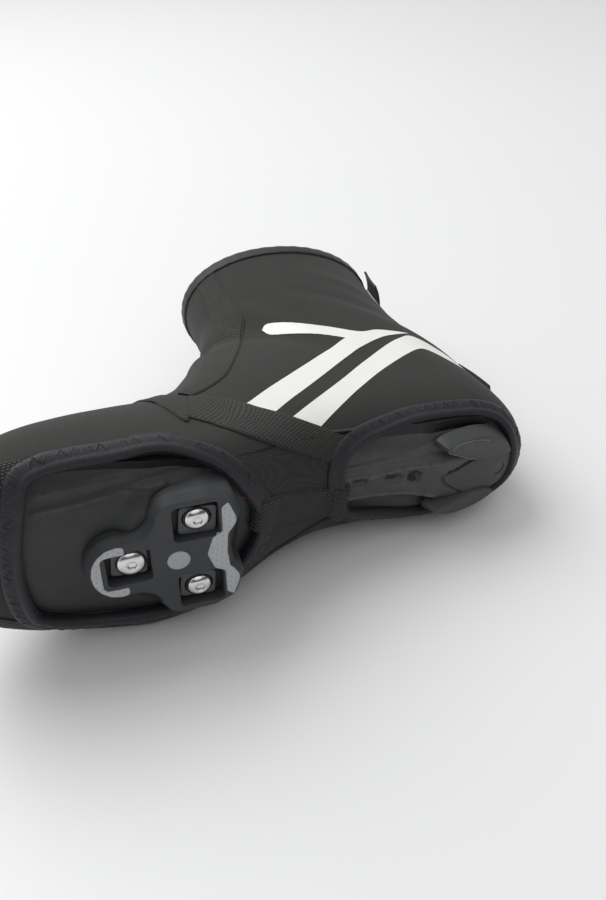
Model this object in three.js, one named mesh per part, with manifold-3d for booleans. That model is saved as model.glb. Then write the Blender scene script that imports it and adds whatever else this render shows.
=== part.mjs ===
// A cycling overshoe with the sole that shows through it, lying on its outer side. Lengths are in mm.
// It is shaped upright, as worn on a right foot: +x to the little toe, +y to the toes, +z up,
// y = 0 at the back of the sole and z = 0 under the heel lugs. The last step lays it on its side.
import * as THREE from "three";
import { mergeVertices } from "three/addons/utils/BufferGeometryUtils.js";
import Module from "manifold-3d";

const wasm = await Module();
wasm.setup();

// Driving sizes of the overshoe
const FOOT_LENGTH = 293;
const BALL_WIDTH = 104;
const BALL_HEIGHT = 84;
const WAIST_WIDTH = 74;
const ANKLE_HEIGHT = 150;
const SHAFT_WIDTH = 79;
const SHAFT_DEPTH = 116;
const SHAFT_HEIGHT = 212;
const ARCH_HEIGHT = 16;
const WALL = 3;
const CLEARANCE = 0.3;

// Trim of the overshoe
const OVERLAY = 1.0;
const BINDING = 1.7;
const BINDING_WIDTH = 8.5;
const LIP = 1.2;
const COLLAR_HEM = 7;
const BRIDGE_WIDTH = 17;
const STRAP_HEIGHT = 30;
const STRAP_THICKNESS = 1.6;
const STRAP_CURL = 6;
const STRIP_WIDTH = 15;
const TAB_LENGTH = 24;
const TAB_WIDTH = 12;
const TAB_THICKNESS = 1.6;

// Sole
const PLATE = 6;
const INSOLE = 3;
const RIB = 1.1;
const RIB_WIDTH = 2.2;
const FLANK_DEPTH = 2.4;
const VENT_LENGTH = 9;
const VENT_WIDTH = 4;
const LUG_STEP = 3.2;
const HEEL_BOLT_RADIUS = 3.3;

// Cleat, in its own plane, which the toe spring tips nose up
const CLEAT_LENGTH = 61;
const CLEAT_WIDTH = 64;
const CLEAT_LEAN = 1.64;
const CLEAT_TURN = -5.4;
const CLEAT_DROP = 5.28;
const CLEAT_DRAFT = 2.2;
const CLEAT_FLANGE = 5;
const PAD_THICKNESS = 1.2;
const PAD_PROUD = 0.4;
const POCKET_DEPTH = 5.5;
const WASHER = 1.4;
const BOLT_SPREAD = 38;
const BOLT_REACH = 29.5;
const BOLT_BACK = 7.2;
const BOLT_RADIUS = 5.4;
const BOLT_DOME = 2.8;
const HEX_ACROSS = 3.4;
const HEX_DEPTH = 1.5;
const DISC_RADIUS = 5.1;

const AROUND = 26;
const TIP = 0.45;

const COLORS = {
  neoprene: 0x302f2d,
  mesh: 0x3a3935,
  binding: 0x26262f,
  strap: 0x151517,
  reflective: 0xd9d9d4,
  plate: 0x4a4b4b,
  insole: 0x33343a,
  lug: 0x55585a,
  cleat: 0x3b3d40,
  pad: 0x8f959b,
  washer: 0x141416,
  steel: 0xc9c9c9,
};

// Sections from toe to collar. keelY, keelZ and ridgeY, ridgeZ are where a section starts underneath
// and ends on top, inner and outer its half widths from middle, widest how far up it is widest, and the
// last three how square it is low on each side and on top. Each list holds shares of the sizes it names.
const COLUMNS = ["keelY", "keelZ", "ridgeY", "ridgeZ", "inner", "outer", "middle", "widest", "lowIn", "lowOut", "top"];
const ANKLE_AT = 0.137 * FOOT_LENGTH;
const FOREFOOT = {
  long: FOOT_LENGTH, low: BALL_HEIGHT, high: BALL_HEIGHT, wide: BALL_WIDTH / 2, from: 0,
  rows: [
    [1.000, 0.524, 1.000, 0.506, 0.010, 0.010, -0.077, 0.50, 2.0, 2.0, 2.0],
    [0.995, 0.440, 0.995, 0.601, 0.327, 0.327, -0.077, 0.48, 2.2, 2.1, 2.0],
    [0.980, 0.381, 0.980, 0.690, 0.558, 0.538, -0.077, 0.44, 2.4, 2.1, 2.0],
    [0.945, 0.321, 0.945, 0.786, 0.740, 0.721, -0.058, 0.38, 2.6, 2.1, 2.1],
    [0.894, 0.268, 0.894, 0.869, 0.865, 0.865, -0.038, 0.33, 2.8, 2.1, 2.2],
    [0.829, 0.208, 0.829, 0.946, 0.952, 0.971, -0.019, 0.30, 3.0, 2.1, 2.3],
    [0.754, 0.149, 0.754, 1.006, 0.981, 1.029, 0, 0.28, 3.0, 2.1, 2.3],
    [0.676, 0.089, 0.676, 1.054, 0.962, 1.048, 0.019, 0.28, 3.0, 2.2, 2.3],
    [0.597, 0.060, 0.597, 1.125, 0.885, 1.000, 0.019, 0.29, 3.0, 2.3, 2.2],
  ],
};
const WAIST = {
  long: FOOT_LENGTH, low: ARCH_HEIGHT, high: ANKLE_HEIGHT, wide: WAIST_WIDTH / 2, from: 0,
  rows: [
    [0.522, 0.560, 0.536, 0.693, 1.108, 1.284, 0.027, 0.31, 2.9, 2.4, 2.2],
    [0.444, 0.906, 0.488, 0.787, 1.014, 1.162, 0.027, 0.34, 2.8, 2.5, 2.2],
    [0.362, 1.000, 0.454, 0.860, 0.973, 1.068, 0, 0.36, 2.7, 2.6, 2.2],
    [0.273, 0.750, 0.430, 0.910, 0.959, 1.027, 0, 0.38, 2.7, 2.7, 2.2],
    [0.177, 0.250, 0.411, 0.947, 0.959, 1.000, 0, 0.38, 2.8, 2.8, 2.2],
    [0.089, 0.063, 0.399, 0.977, 0.973, 0.986, 0, 0.36, 2.8, 2.8, 2.2],
    [0.020, 0.125, 0.391, 1.003, 0.973, 0.986, 0, 0.36, 2.6, 2.6, 2.2],
    [-0.017, 0.563, 0.384, 1.027, 0.973, 0.986, 0, 0.38, 2.4, 2.4, 2.2],
    [-0.031, 1.500, 0.377, 1.050, 0.973, 0.986, 0, 0.40, 2.3, 2.3, 2.2],
    [-0.036, 2.875, 0.370, 1.080, 0.973, 0.986, 0, 0.44, 2.2, 2.2, 2.2],
  ],
};
const SHAFT = {
  long: SHAFT_DEPTH, low: SHAFT_HEIGHT, high: SHAFT_HEIGHT, wide: SHAFT_WIDTH / 2, from: ANKLE_AT,
  rows: [
    [-0.431, 0.349, 0.572, 0.790, 0.924, 0.937, 0, 0.46, 2.2, 2.2, 2.2],
    [-0.402, 0.486, 0.555, 0.823, 0.937, 0.949, 0, 0.48, 2.1, 2.1, 2.1],
    [-0.406, 0.618, 0.542, 0.870, 0.949, 0.962, 0, 0.50, 2.1, 2.1, 2.1],
    [-0.441, 0.745, 0.525, 0.929, 0.975, 0.987, 0, 0.50, 2.1, 2.1, 2.1],
    [-0.497, 0.873, 0.503, 1.000, 1.000, 1.013, 0, 0.50, 2.1, 2.1, 2.1],
  ],
};

const ROWS = [FOREFOOT, WAIST, SHAFT].flatMap((part) => part.rows.map((shares) => {
  const row = Object.fromEntries(COLUMNS.map((name, i) => [name, shares[i]]));
  row.keelY = part.from + row.keelY * part.long;
  row.ridgeY = part.from + row.ridgeY * part.long;
  row.keelZ *= part.low;
  row.ridgeZ *= part.high;
  row.inner *= part.wide;
  row.outer *= part.wide;
  row.middle *= part.wide;
  return row;
}));
const COLLAR = ROWS.length - 1;

// One section, smoothly between the rows
function section(u) {
  const i = Math.min(Math.max(Math.floor(u), 0), COLLAR - 1);
  const t = u - i;
  const at = (k, name) => ROWS[k][name];
  const out = {};
  for (const name of COLUMNS) {
    const b = at(i, name);
    const c = at(i + 1, name);
    const a = i > 0 ? at(i - 1, name) : 2 * b - c;
    const d = i < COLLAR - 1 ? at(i + 2, name) : 2 * c - b;
    out[name] = t > 1
      ? c + (t - 1) * (c - a) / 2
      : 0.5 * (2 * b + (c - a) * t + (2 * a - 5 * b + 4 * c - d) * t ** 2 + (3 * b - a - 3 * c + d) * t ** 3);
  }
  return out;
}

// A point of the outer skin: v is 0 underneath, 1/4 on the outer side, 1/2 on top
function skin(u, v) {
  const row = section(u);
  const c = Math.cos(2 * Math.PI * v);
  const s = Math.sin(2 * Math.PI * v);
  const power = 2 / (c > 0 ? (s > 0 ? row.lowOut : row.lowIn) : row.top);
  const rise = Math.abs(c) ** power;
  const up = c > 0 ? row.widest * (1 - rise) : row.widest + (1 - row.widest) * rise;
  const x = row.middle + Math.sign(s) * (s > 0 ? row.outer : row.inner) * Math.abs(s) ** power;
  return new THREE.Vector3(
    x,
    row.keelY + (row.ridgeY - row.keelY) * up,
    row.keelZ + (row.ridgeZ - row.keelZ) * up,
  );
}

// The same point moved inwards through the wall, or outwards where inset is negative
function inside(u, v, inset) {
  const step = 0.004;
  const point = skin(u, v);
  if (inset === 0) return point;
  const along = skin(u + step, v).sub(skin(Math.max(u - step, 0), v));
  const across = skin(u, v + step).sub(skin(u, v - step));
  return point.addScaledVector(across.cross(along).normalize(), -inset);
}

function toSolid(geometry) {
  const bare = geometry.clone();
  bare.deleteAttribute("normal");
  bare.deleteAttribute("uv");
  const merged = mergeVertices(bare, 1e-5);
  return new wasm.Manifold(new wasm.Mesh({
    numProp: 3,
    vertProperties: merged.attributes.position.array,
    triVerts: new Uint32Array(merged.index.array),
  }));
}

function fromSolid(solid) {
  const mesh = solid.getMesh();
  const geometry = new THREE.BufferGeometry();
  geometry.setAttribute("position", new THREE.BufferAttribute(new Float32Array(mesh.vertProperties), 3));
  geometry.setIndex(new THREE.BufferAttribute(new Uint32Array(mesh.triVerts), 1));
  return geometry;
}

// A solid through rings of equal length, closed by flat or pointed ends
function throughRings(rings, startTip, endTip) {
  const points = rings.flat();
  const n = rings[0].length;
  const faces = [];
  for (let r = 0; r < rings.length - 1; r += 1) {
    for (let k = 0; k < n; k += 1) {
      const a = r * n + k;
      const b = r * n + (k + 1) % n;
      faces.push(a, b, a + n, b, b + n, a + n);
    }
  }
  const first = points.push(startTip) - 1;
  const last = points.push(endTip) - 1;
  const top = (rings.length - 1) * n;
  for (let k = 0; k < n; k += 1) {
    faces.push((k + 1) % n, k, first);
    faces.push(top + k, top + (k + 1) % n, last);
  }
  const geometry = new THREE.BufferGeometry();
  geometry.setAttribute("position", new THREE.Float32BufferAttribute(points.flatMap((p) => [p.x, p.y, p.z]), 3));
  geometry.setIndex(faces);
  return outward(geometry);
}

// Turns the faces out where a closed geometry holds a negative volume
function outward(geometry) {
  const p = geometry.attributes.position;
  const index = geometry.index.array;
  const corner = [0, 1, 2].map(() => new THREE.Vector3());
  let volume = 0;
  for (let i = 0; i < index.length; i += 3) {
    corner.forEach((c, k) => c.fromBufferAttribute(p, index[i + k]));
    volume += corner[0].dot(corner[1].clone().cross(corner[2]));
  }
  if (volume < 0) {
    for (let i = 0; i < index.length; i += 3) [index[i], index[i + 1]] = [index[i + 1], index[i]];
  }
  return geometry;
}

function average(points) {
  return points.reduce((sum, p) => sum.add(p), new THREE.Vector3()).divideScalar(points.length);
}

// The whole foot and shaft as one filled form, inset from the skin, past the collar by extra rows
function form(inset, extra = 0) {
  const rings = [TIP, ...ROWS.keys()].filter((u) => u > 0);
  if (extra > 0) rings.push(COLLAR + extra);
  const points = rings.map((u) => Array.from({ length: AROUND }, (_, k) => inside(u, k / AROUND, inset)));
  const tip = skin(0, 0).setY(ROWS[0].keelY - inset);
  return toSolid(throughRings(points, tip, average(points.at(-1))));
}

// Prisms: down cuts a plan outline, across a side outline
function prism(outline, low, high, axes) {
  const shape = new THREE.Shape(outline);
  const geometry = new THREE.ExtrudeGeometry(shape, { depth: high - low, bevelEnabled: false, steps: 1 });
  geometry.translate(0, 0, low);
  if (axes) geometry.applyMatrix4(axes);
  return toSolid(geometry);
}
const SIDEWAYS = new THREE.Matrix4().makeBasis(
  new THREE.Vector3(0, 1, 0),
  new THREE.Vector3(0, 0, 1),
  new THREE.Vector3(1, 0, 0),
);
const down = (outline, low, high) => prism(outline, low, high);
const across = (outline, low = -BALL_WIDTH, high = BALL_WIDTH) => prism(outline, low, high, SIDEWAYS);

function counterClockwise(points) {
  return THREE.ShapeUtils.area(points) < 0 ? points.slice().reverse() : points;
}

// A smooth closed outline through a table of shares
function smoothOutline(shares, wide, long, count) {
  const nodes = shares.map(([x, y]) => new THREE.Vector3(x * wide, y * long, 0));
  const curve = new THREE.CatmullRomCurve3(nodes, true, "centripetal");
  const points = curve.getPoints(count).slice(0, count);
  return counterClockwise(points.map((p) => new THREE.Vector2(p.x, p.y)));
}

// An outline moved outwards by a distance, or inwards where it is negative
function grown(outline, distance) {
  const n = outline.length;
  return outline.map((p, i) => {
    const tangent = outline[(i + 1) % n].clone().sub(outline[(i + n - 1) % n]).normalize();
    return new THREE.Vector2(p.x + tangent.y * distance, p.y - tangent.x * distance);
  });
}

const mirrored = (half) => half.concat(half.filter(([x]) => x > 0).map(([x, y]) => [-x, y]).reverse());
const vectors = (pairs, wide, long) => pairs.map(([x, y]) => new THREE.Vector2(x * wide, y * long));

const whole = new THREE.Group();
const upright = [];

function add(name, solid, finish) {
  const [color, roughness, metalness] = finish;
  const material = new THREE.MeshStandardMaterial({ color, roughness, metalness });
  const mesh = new THREE.Mesh(fromSolid(solid), material);
  mesh.name = name;
  upright.push(mesh);
  return solid;
}
const CLOTH = (color) => [color, 0.9, 0];
const MOULDED = (color) => [color, 0.55, 0];

// The forms that everything is cut between
const outer = form(0);
const lining = form(WALL, 0.4);
const shoeSpace = form(WALL + CLEARANCE);
const overlaySeat = form(-CLEARANCE, 0.3);
const overlayTop = form(-CLEARANCE - OVERLAY, 0.3);
const bindingTop = form(-CLEARANCE - BINDING, 0.3);

// The two windows underneath: x as shares of half a width, y as shares of the foot's length
const FOREFOOT_WINDOW = [
  [-0.808, 0.836], [-0.880, 0.818], [-0.915, 0.780], [-0.923, 0.732], [-0.918, 0.677], [-0.865, 0.630],
  [-0.745, 0.588], [-0.598, 0.560], [-0.358, 0.530], [-0.150, 0.511], [0.077, 0.505], [0.240, 0.513],
  [0.400, 0.529], [0.560, 0.547], [0.700, 0.580], [0.765, 0.621], [0.755, 0.680], [0.745, 0.740],
  [0.712, 0.792], [0.644, 0.826], [0.519, 0.844], [0.165, 0.856], [-0.256, 0.853], [-0.617, 0.843],
];
const HEEL_WINDOW = [
  [0.20, 0.338], [-0.07, 0.342], [-0.310, 0.344], [-0.503, 0.332], [-0.616, 0.304], [-0.705, 0.258],
  [-0.776, 0.214], [-0.795, 0.168], [-0.786, 0.123], [-0.746, 0.083], [-0.643, 0.049], [-0.454, 0.031],
  [-0.20, 0.020], [0.03, 0.016], [0.25, 0.018], [0.46, 0.032], [0.61, 0.052], [0.70, 0.085],
  [0.72, 0.125], [0.70, 0.16], [0.665, 0.198], [0.58, 0.257], [0.50, 0.305], [0.38, 0.328],
];
const OUTLINE_POINTS = 28;
const windows = {
  forefoot: smoothOutline(FOREFOOT_WINDOW, BALL_WIDTH / 2, FOOT_LENGTH, OUTLINE_POINTS),
  heel: smoothOutline(HEEL_WINDOW, WAIST_WIDTH / 2, FOOT_LENGTH, OUTLINE_POINTS),
};
const UNDER = -0.5 * BALL_HEIGHT;
const windowTop = { forefoot: 0.334 * BALL_HEIGHT, heel: 1.62 * ARCH_HEIGHT };
const openings = Object.fromEntries(Object.entries(windows).map(([name, outline]) => (
  [name, down(outline, UNDER, windowTop[name] + WALL)])));

add("upper", outer.subtract(lining).subtract(openings.forefoot).subtract(openings.heel), CLOTH(COLORS.neoprene));

// A binding folds over the cut edge: outside it is a band, in the window a lip as deep as the wall
const bindings = {};
for (const name of ["forefoot", "heel"]) {
  const outline = windows[name];
  const band = down(grown(outline, BINDING_WIDTH), UNDER, windowTop[name]);
  const edge = down(grown(outline, -CLEARANCE), UNDER, windowTop[name] + WALL);
  const hole = down(grown(outline, -CLEARANCE - LIP), UNDER, windowTop[name] + WALL);
  bindings[name] = bindingTop.intersect(band).subtract(hole)
    .subtract(overlaySeat.subtract(edge))
    .subtract(lining);
  add(`${name}_window_binding`, bindings[name], CLOTH(COLORS.binding));
}
const bandAround = (name) => down(grown(windows[name], BINDING_WIDTH + CLEARANCE), UNDER, windowTop[name] + CLEARANCE);
const clearOfBindings = (solid) => solid.subtract(bandAround("forefoot")).subtract(bandAround("heel"));
const overlay = (cutter) => clearOfBindings(overlayTop.subtract(overlaySeat).intersect(cutter));

// Elastic strip along the arch between the two windows
const BRIDGE_LEAN = 0.018;
const BRIDGE_SLANT = 4.05;
const bridgeEnds = [0.515, 0.335];
const bridgeOutline = [
  [-0.5, bridgeEnds[0]], [-0.5, bridgeEnds[1]], [0.5, bridgeEnds[1] - BRIDGE_LEAN], [0.5, bridgeEnds[0] - BRIDGE_LEAN],
].map(([x, y]) => new THREE.Vector2(x * BRIDGE_WIDTH + BRIDGE_WIDTH * (0.451 - y) * BRIDGE_SLANT, y * FOOT_LENGTH));
const bridgeCutter = down(counterClockwise(bridgeOutline), UNDER, 2 * ARCH_HEIGHT);
add("arch_bridge", overlay(bridgeCutter), CLOTH(COLORS.mesh));

// Seen from the side: y as shares of the foot's length, z as shares of the ankle's height
const INSTEP_BAND = [
  [0.302, 0.085], [0.326, 0.147], [0.362, 0.183], [0.398, 0.227], [0.443, 0.299], [0.487, 0.377],
  [0.543, 0.433], [0.568, 0.443], [0.598, 0.453], [0.640, 0.590], [0.650, 0.800],
  [0.710, 0.800], [0.690, 0.520], [0.630, 0.345], [0.598, 0.304], [0.568, 0.261], [0.536, 0.213],
  [0.502, 0.175], [0.438, 0.149], [0.358, 0.119], [0.330, 0.085],
];
const INSTEP_PANEL = [
  [0.337, 0.880], [0.380, 0.739], [0.419, 0.630], [0.451, 0.556], [0.496, 0.493], [0.538, 0.447],
  [0.556, 0.478], [0.502, 0.576], [0.462, 0.674], [0.425, 0.790], [0.392, 0.905], [0.366, 0.945],
];
const side = (shares) => counterClockwise(vectors(shares, FOOT_LENGTH, ANKLE_HEIGHT));
const instepBand = side(INSTEP_BAND);
add("instep_band", overlay(across(instepBand)), CLOTH(COLORS.mesh));
const instepPanel = across(side(INSTEP_PANEL)).subtract(across(grown(instepBand, CLEARANCE)));
for (const [name, sign] of [["inner", -1], ["outer", 1]]) {
  const half = down(vectors([[0, -1], [sign, -1], [sign, 1], [0, 1]], BALL_WIDTH, FOOT_LENGTH), 0, SHAFT_HEIGHT);
  const stripe = overlayTop.subtract(overlaySeat).intersect(instepPanel).intersect(half);
  add(`instep_panel_${name}`, clearOfBindings(stripe), CLOTH(COLORS.mesh));
}

// Hard-wearing strip round the toe, just above the window's binding
const TOE_GUARD = [
  [0.845, 0.165], [0.900, 0.182], [0.945, 0.208], [0.975, 0.238], [1.200, 0.262],
  [1.200, 0.345], [0.975, 0.310], [0.945, 0.272], [0.900, 0.236], [0.845, 0.210],
];
add("toe_guard", overlay(across(side(TOE_GUARD))), CLOTH(COLORS.mesh));

// Collar hem: it stands on the rim and reaches down outside it
function collarPlane(drop) {
  const back = new THREE.Vector2(ROWS[COLLAR].keelY, ROWS[COLLAR].keelZ);
  const front = new THREE.Vector2(ROWS[COLLAR].ridgeY, ROWS[COLLAR].ridgeZ);
  const run = front.clone().sub(back).normalize();
  const rise = new THREE.Vector2(-run.y, run.x);
  const low = back.addScaledVector(run, -SHAFT_DEPTH).addScaledVector(rise, -drop);
  const ahead = front.addScaledVector(run, SHAFT_DEPTH).addScaledVector(rise, -drop);
  return [low, ahead, ahead.clone().addScaledVector(rise, SHAFT_HEIGHT), low.clone().addScaledVector(rise, SHAFT_HEIGHT)];
}
const aboveRim = (drop) => across(collarPlane(drop));
const belowTop = aboveRim(-OVERLAY - CLEARANCE);
add("collar_hem", overlayTop.intersect(aboveRim(COLLAR_HEM))
  .subtract(overlaySeat.subtract(aboveRim(-CLEARANCE)))
  .subtract(lining)
  .subtract(belowTop), CLOTH(COLORS.strap));

// A band laid on the skin: the path gives u and v along it, rise lifts it off
function laidBand(path, width, thickness, rise) {
  const rings = path.map(([u, v], i) => {
    const before = skin(...path[Math.max(i - 1, 0)]);
    const after = skin(...path[Math.min(i + 1, path.length - 1)]);
    const along = after.sub(before).normalize();
    const low = inside(u, v, -rise(i / (path.length - 1)));
    const out = inside(u, v, -rise(i / (path.length - 1)) - thickness).sub(low);
    const wide = along.clone().cross(out).normalize().multiplyScalar(width / 2);
    return [low.clone().sub(wide), low.clone().add(wide), low.clone().add(wide).add(out), low.clone().sub(wide).add(out)];
  });
  return toSolid(throughRings(rings, average(rings[0]), average(rings.at(-1))));
}

// Closing strap round the back of the shaft; its free end stands off the inner side
const strapSpan = { from: 0.20, to: -0.075, steps: 16 };
const strapRow = COLLAR - 0.78;
const strapPath = Array.from({ length: strapSpan.steps + 1 }, (_, i) => (
  [strapRow, strapSpan.from + (strapSpan.to - strapSpan.from) * i / strapSpan.steps]));
const STRAP_SEAT = 2 * CLEARANCE + OVERLAY + 0.5;
const strap = laidBand(strapPath, STRAP_HEIGHT, STRAP_THICKNESS, (t) => STRAP_SEAT + STRAP_CURL * Math.max(0, t - 0.6) ** 2 * 6);

// Bright strip up the back seam, under the strap, and a small pull tab at its foot
const strip = overlayTop.subtract(overlaySeat)
  .intersect(across(side([[-0.5, 0.50], [0.22, 0.50], [0.22, 2.0], [-0.5, 2.0]])))
  .intersect(down(vectors([[-0.5, -1], [0.5, -1], [0.5, 0.22], [-0.5, 0.22]], STRIP_WIDTH, FOOT_LENGTH), 0, SHAFT_HEIGHT))
  .subtract(aboveRim(COLLAR_HEM + CLEARANCE));
add("back_strip", strip, CLOTH(COLORS.reflective));
add("closing_strap", strap.subtract(aboveRim(COLLAR_HEM + 2 * CLEARANCE)), CLOTH(COLORS.strap));
const tabPath = Array.from({ length: 7 }, (_, i) => [COLLAR - 4.2 - i * 0.16 * TAB_LENGTH / 24, -0.045]);
const tab = laidBand(tabPath, TAB_WIDTH, TAB_THICKNESS, (t) => 2 * CLEARANCE + 2.2 * Math.sin(Math.PI * t * 0.6));
add("heel_pull_tab", tab.subtract(overlaySeat), CLOTH(COLORS.strap));

// Sole plate: the underside of the shoe space up to the footbed, with ribs, hollowed flanks and vents
function footbed(lift) {
  const low = ROWS.slice(1, 16).map((row) => new THREE.Vector2(row.keelY, row.keelZ + WALL + CLEARANCE + lift));
  const heel = new THREE.Vector2(-FOOT_LENGTH, low.at(-1).y);
  const toe = new THREE.Vector2(2 * FOOT_LENGTH, low[0].y);
  return counterClockwise([toe, ...low, heel, new THREE.Vector2(-FOOT_LENGTH, UNDER), new THREE.Vector2(2 * FOOT_LENGTH, UNDER)]);
}
const plateBody = shoeSpace.intersect(across(footbed(PLATE)));
const ribs = form(WALL + CLEARANCE - RIB);
const hollow = form(WALL + CLEARANCE + FLANK_DEPTH);
const HALF_WAIST = WAIST_WIDTH / 2;
const strips = {
  inner: [[-0.27, 0.36], [-0.24, 0.295], [-0.23, 0.255], [-0.26, 0.205], [-0.30, 0.160], [-0.30, 0.140]],
  middle: [[-0.15, 0.36], [-0.11, 0.290], [-0.085, 0.25], [-0.05, 0.21], [-0.02, 0.18]],
  outer: [[0.20, 0.36], [0.28, 0.262], [0.35, 0.222], [0.42, 0.185]],
};
function ribbon(nodes, width) {
  const line = vectors(nodes, HALF_WAIST, FOOT_LENGTH);
  const left = line.map((p) => new THREE.Vector2(p.x - width / 2, p.y));
  const right = line.map((p) => new THREE.Vector2(p.x + width / 2, p.y)).reverse();
  return down(counterClockwise(left.concat(right)), UNDER, 3 * ARCH_HEIGHT);
}
const flanks = [
  [[-0.31, 0.350], [-0.30, 0.210], [-0.33, 0.165], [-0.62, 0.165], [-0.52, 0.240], [-0.42, 0.310]],
  [[0.23, 0.350], [0.32, 0.262], [0.40, 0.222], [0.55, 0.170], [0.60, 0.200], [0.50, 0.270], [0.44, 0.310]],
].map((nodes) => down(counterClockwise(vectors(nodes, HALF_WAIST, FOOT_LENGTH)), UNDER, 3 * ARCH_HEIGHT));
const ventPlaces = [[-0.054, 0.305], [0.02, 0.242], [0.085, 0.190]];
const vents = ventPlaces.map(([x, y]) => {
  const oval = new THREE.EllipseCurve(x * HALF_WAIST, y * FOOT_LENGTH, VENT_WIDTH / 2, VENT_LENGTH / 2).getPoints(12);
  return down(oval.slice(0, 12), UNDER, 3 * ARCH_HEIGHT);
});
const cutAway = (solid, cutter) => solid.subtract(cutter);
const ribField = ribs.intersect(down(grown(windows.heel, -LIP - 2 * CLEARANCE), UNDER, 3 * ARCH_HEIGHT));
let plate = Object.values(strips).reduce((solid, nodes) => (
  solid.add(ribField.intersect(ribbon(nodes, RIB_WIDTH)).intersect(across(footbed(PLATE))))), plateBody);
plate = flanks.reduce((solid, flank) => solid.subtract(flank.subtract(hollow)), plate);
plate = vents.reduce(cutAway, plate);
add("sole_plate", plate, MOULDED(COLORS.plate));

const bedSpace = form(WALL + 3 * CLEARANCE);
add("insole", bedSpace.intersect(across(footbed(PLATE + INSOLE))).subtract(across(footbed(PLATE + CLEARANCE))),
  CLOTH(COLORS.insole));

// Heel lugs stand on z = 0 and are cut to the plate's underside
const LUGS = {
  inner: [[-0.555, 0.174], [-0.610, 0.150], [-0.625, 0.115], [-0.580, 0.083], [-0.500, 0.060], [-0.400, 0.042],
    [-0.260, 0.030], [-0.200, 0.034], [-0.215, 0.090], [-0.330, 0.130], [-0.450, 0.162]],
  outer: [[0.470, 0.176], [0.400, 0.130], [0.330, 0.092], [0.360, 0.065], [0.430, 0.050], [0.510, 0.058],
    [0.590, 0.085], [0.630, 0.120], [0.610, 0.150], [0.540, 0.170]],
};
const lugTop = 2 * ARCH_HEIGHT;
for (const [name, nodes] of Object.entries(LUGS)) {
  const face = counterClockwise(vectors(nodes, HALF_WAIST, FOOT_LENGTH));
  add(`heel_lug_${name}`, down(face, 0, lugTop).subtract(lining), MOULDED(COLORS.lug));
}
const heelPadEdge = counterClockwise(vectors([
  [0.0, 0.163], [0.10, 0.150], [0.28, 0.118], [0.32, 0.080], [0.34, 0.055], [0.25, 0.034], [0.02, 0.028],
  [-0.16, 0.034], [-0.19, 0.085], [-0.12, 0.130],
], HALF_WAIST, FOOT_LENGTH));
const padUnder = form(WALL - LUG_STEP);
const boltHead = new THREE.Vector2(0.055 * HALF_WAIST, 0.060 * FOOT_LENGTH);
const circle = (center, radius, count) => Array.from({ length: count }, (_, i) => {
  const angle = 2 * Math.PI * i / count;
  return new THREE.Vector2(center.x + radius * Math.cos(angle), center.y + radius * Math.sin(angle));
});
const boltWell = down(circle(boltHead, HEEL_BOLT_RADIUS + 4 * CLEARANCE, 14), UNDER, lugTop);
add("heel_pad", padUnder.intersect(down(heelPadEdge, UNDER, lugTop)).subtract(lining).subtract(boltWell),
  MOULDED(COLORS.lug));
const boltFloor = section(COLLAR - 9.2).keelZ + WALL;
const dome = (radius, height, count) => Array.from({ length: 5 }, (_, i) => {
  const t = i * Math.PI / 8;
  return new THREE.Vector2(radius * Math.cos(t), -height * Math.sin(t));
}).concat([new THREE.Vector2(0, count)]);
function domed(radius, height, shank) {
  const profile = [[0, shank], [radius, shank], [radius, 0], [radius * 0.93, -height * 0.38],
    [radius * 0.72, -height * 0.70], [radius * 0.40, -height * 0.93], [0, -height]];
  const geometry = new THREE.LatheGeometry(profile.map(([r, z]) => new THREE.Vector2(r, z)), 10);
  geometry.rotateX(Math.PI / 2);
  return outward(mergeVertices(geometryPositions(geometry), 1e-4));
}
function geometryPositions(geometry) {
  const bare = geometry.clone();
  bare.deleteAttribute("normal");
  bare.deleteAttribute("uv");
  return bare;
}
const heelBolt = domed(HEEL_BOLT_RADIUS, 1.6, lugTop);
heelBolt.translate(boltHead.x, boltHead.y, boltFloor);
add("heel_bolt", toSolid(heelBolt).subtract(lining), [COLORS.lug, 0.5, 0]);

// Cleat in its own frame: x across, y to the nose, z up to the sole, face at z = 0
const CLEAT_FACE_HALF = [
  [0.00, 0.664], [0.17, 0.650], [0.32, 0.610], [0.43, 0.540], [0.465, 0.460], [0.44, 0.390], [0.455, 0.310],
  [0.53, 0.238], [0.66, 0.180], [0.84, 0.155], [0.95, 0.123], [1.00, 0.057], [1.00, -0.200], [0.94, -0.280],
  [0.86, -0.367], [0.58, -0.413], [0.48, -0.410], [0.36, -0.343], [0.00, -0.330],
];
const cleatHalf = CLEAT_WIDTH / 2;
const tread = [ROWS[5], ROWS[8]];
const toeSpring = Math.atan2(tread[0].keelZ - tread[1].keelZ, tread[0].keelY - tread[1].keelY);
const cleatRow = section(7.35);
const cleatPlace = new THREE.Vector3(0, cleatRow.keelY, cleatRow.keelZ - CLEAT_DROP);
const cleatTilt = new THREE.Matrix4().makeTranslation(cleatPlace)
  .multiply(new THREE.Matrix4().makeRotationX(toeSpring + THREE.MathUtils.degToRad(CLEAT_LEAN)));
const cleatFace = counterClockwise(vectors(mirrored(CLEAT_FACE_HALF), cleatHalf, CLEAT_LENGTH));
const cleatPlane = cleatTilt.clone()
  .multiply(new THREE.Matrix4().makeRotationZ(THREE.MathUtils.degToRad(CLEAT_TURN)));
const boltPlane = cleatTilt;
const onCleat = (geometry, plane = cleatPlane) => toSolid(geometryPositions(geometry).applyMatrix4(plane));
function slab(outline, low, high) {
  const geometry = new THREE.ExtrudeGeometry(new THREE.Shape(outline), { depth: high - low, bevelEnabled: false });
  geometry.translate(0, 0, low);
  return geometry;
}
const CLEAT_TOP = 30;
const ringAt = (outline, z) => outline.map((p) => new THREE.Vector3(p.x, p.y, z));
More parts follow.
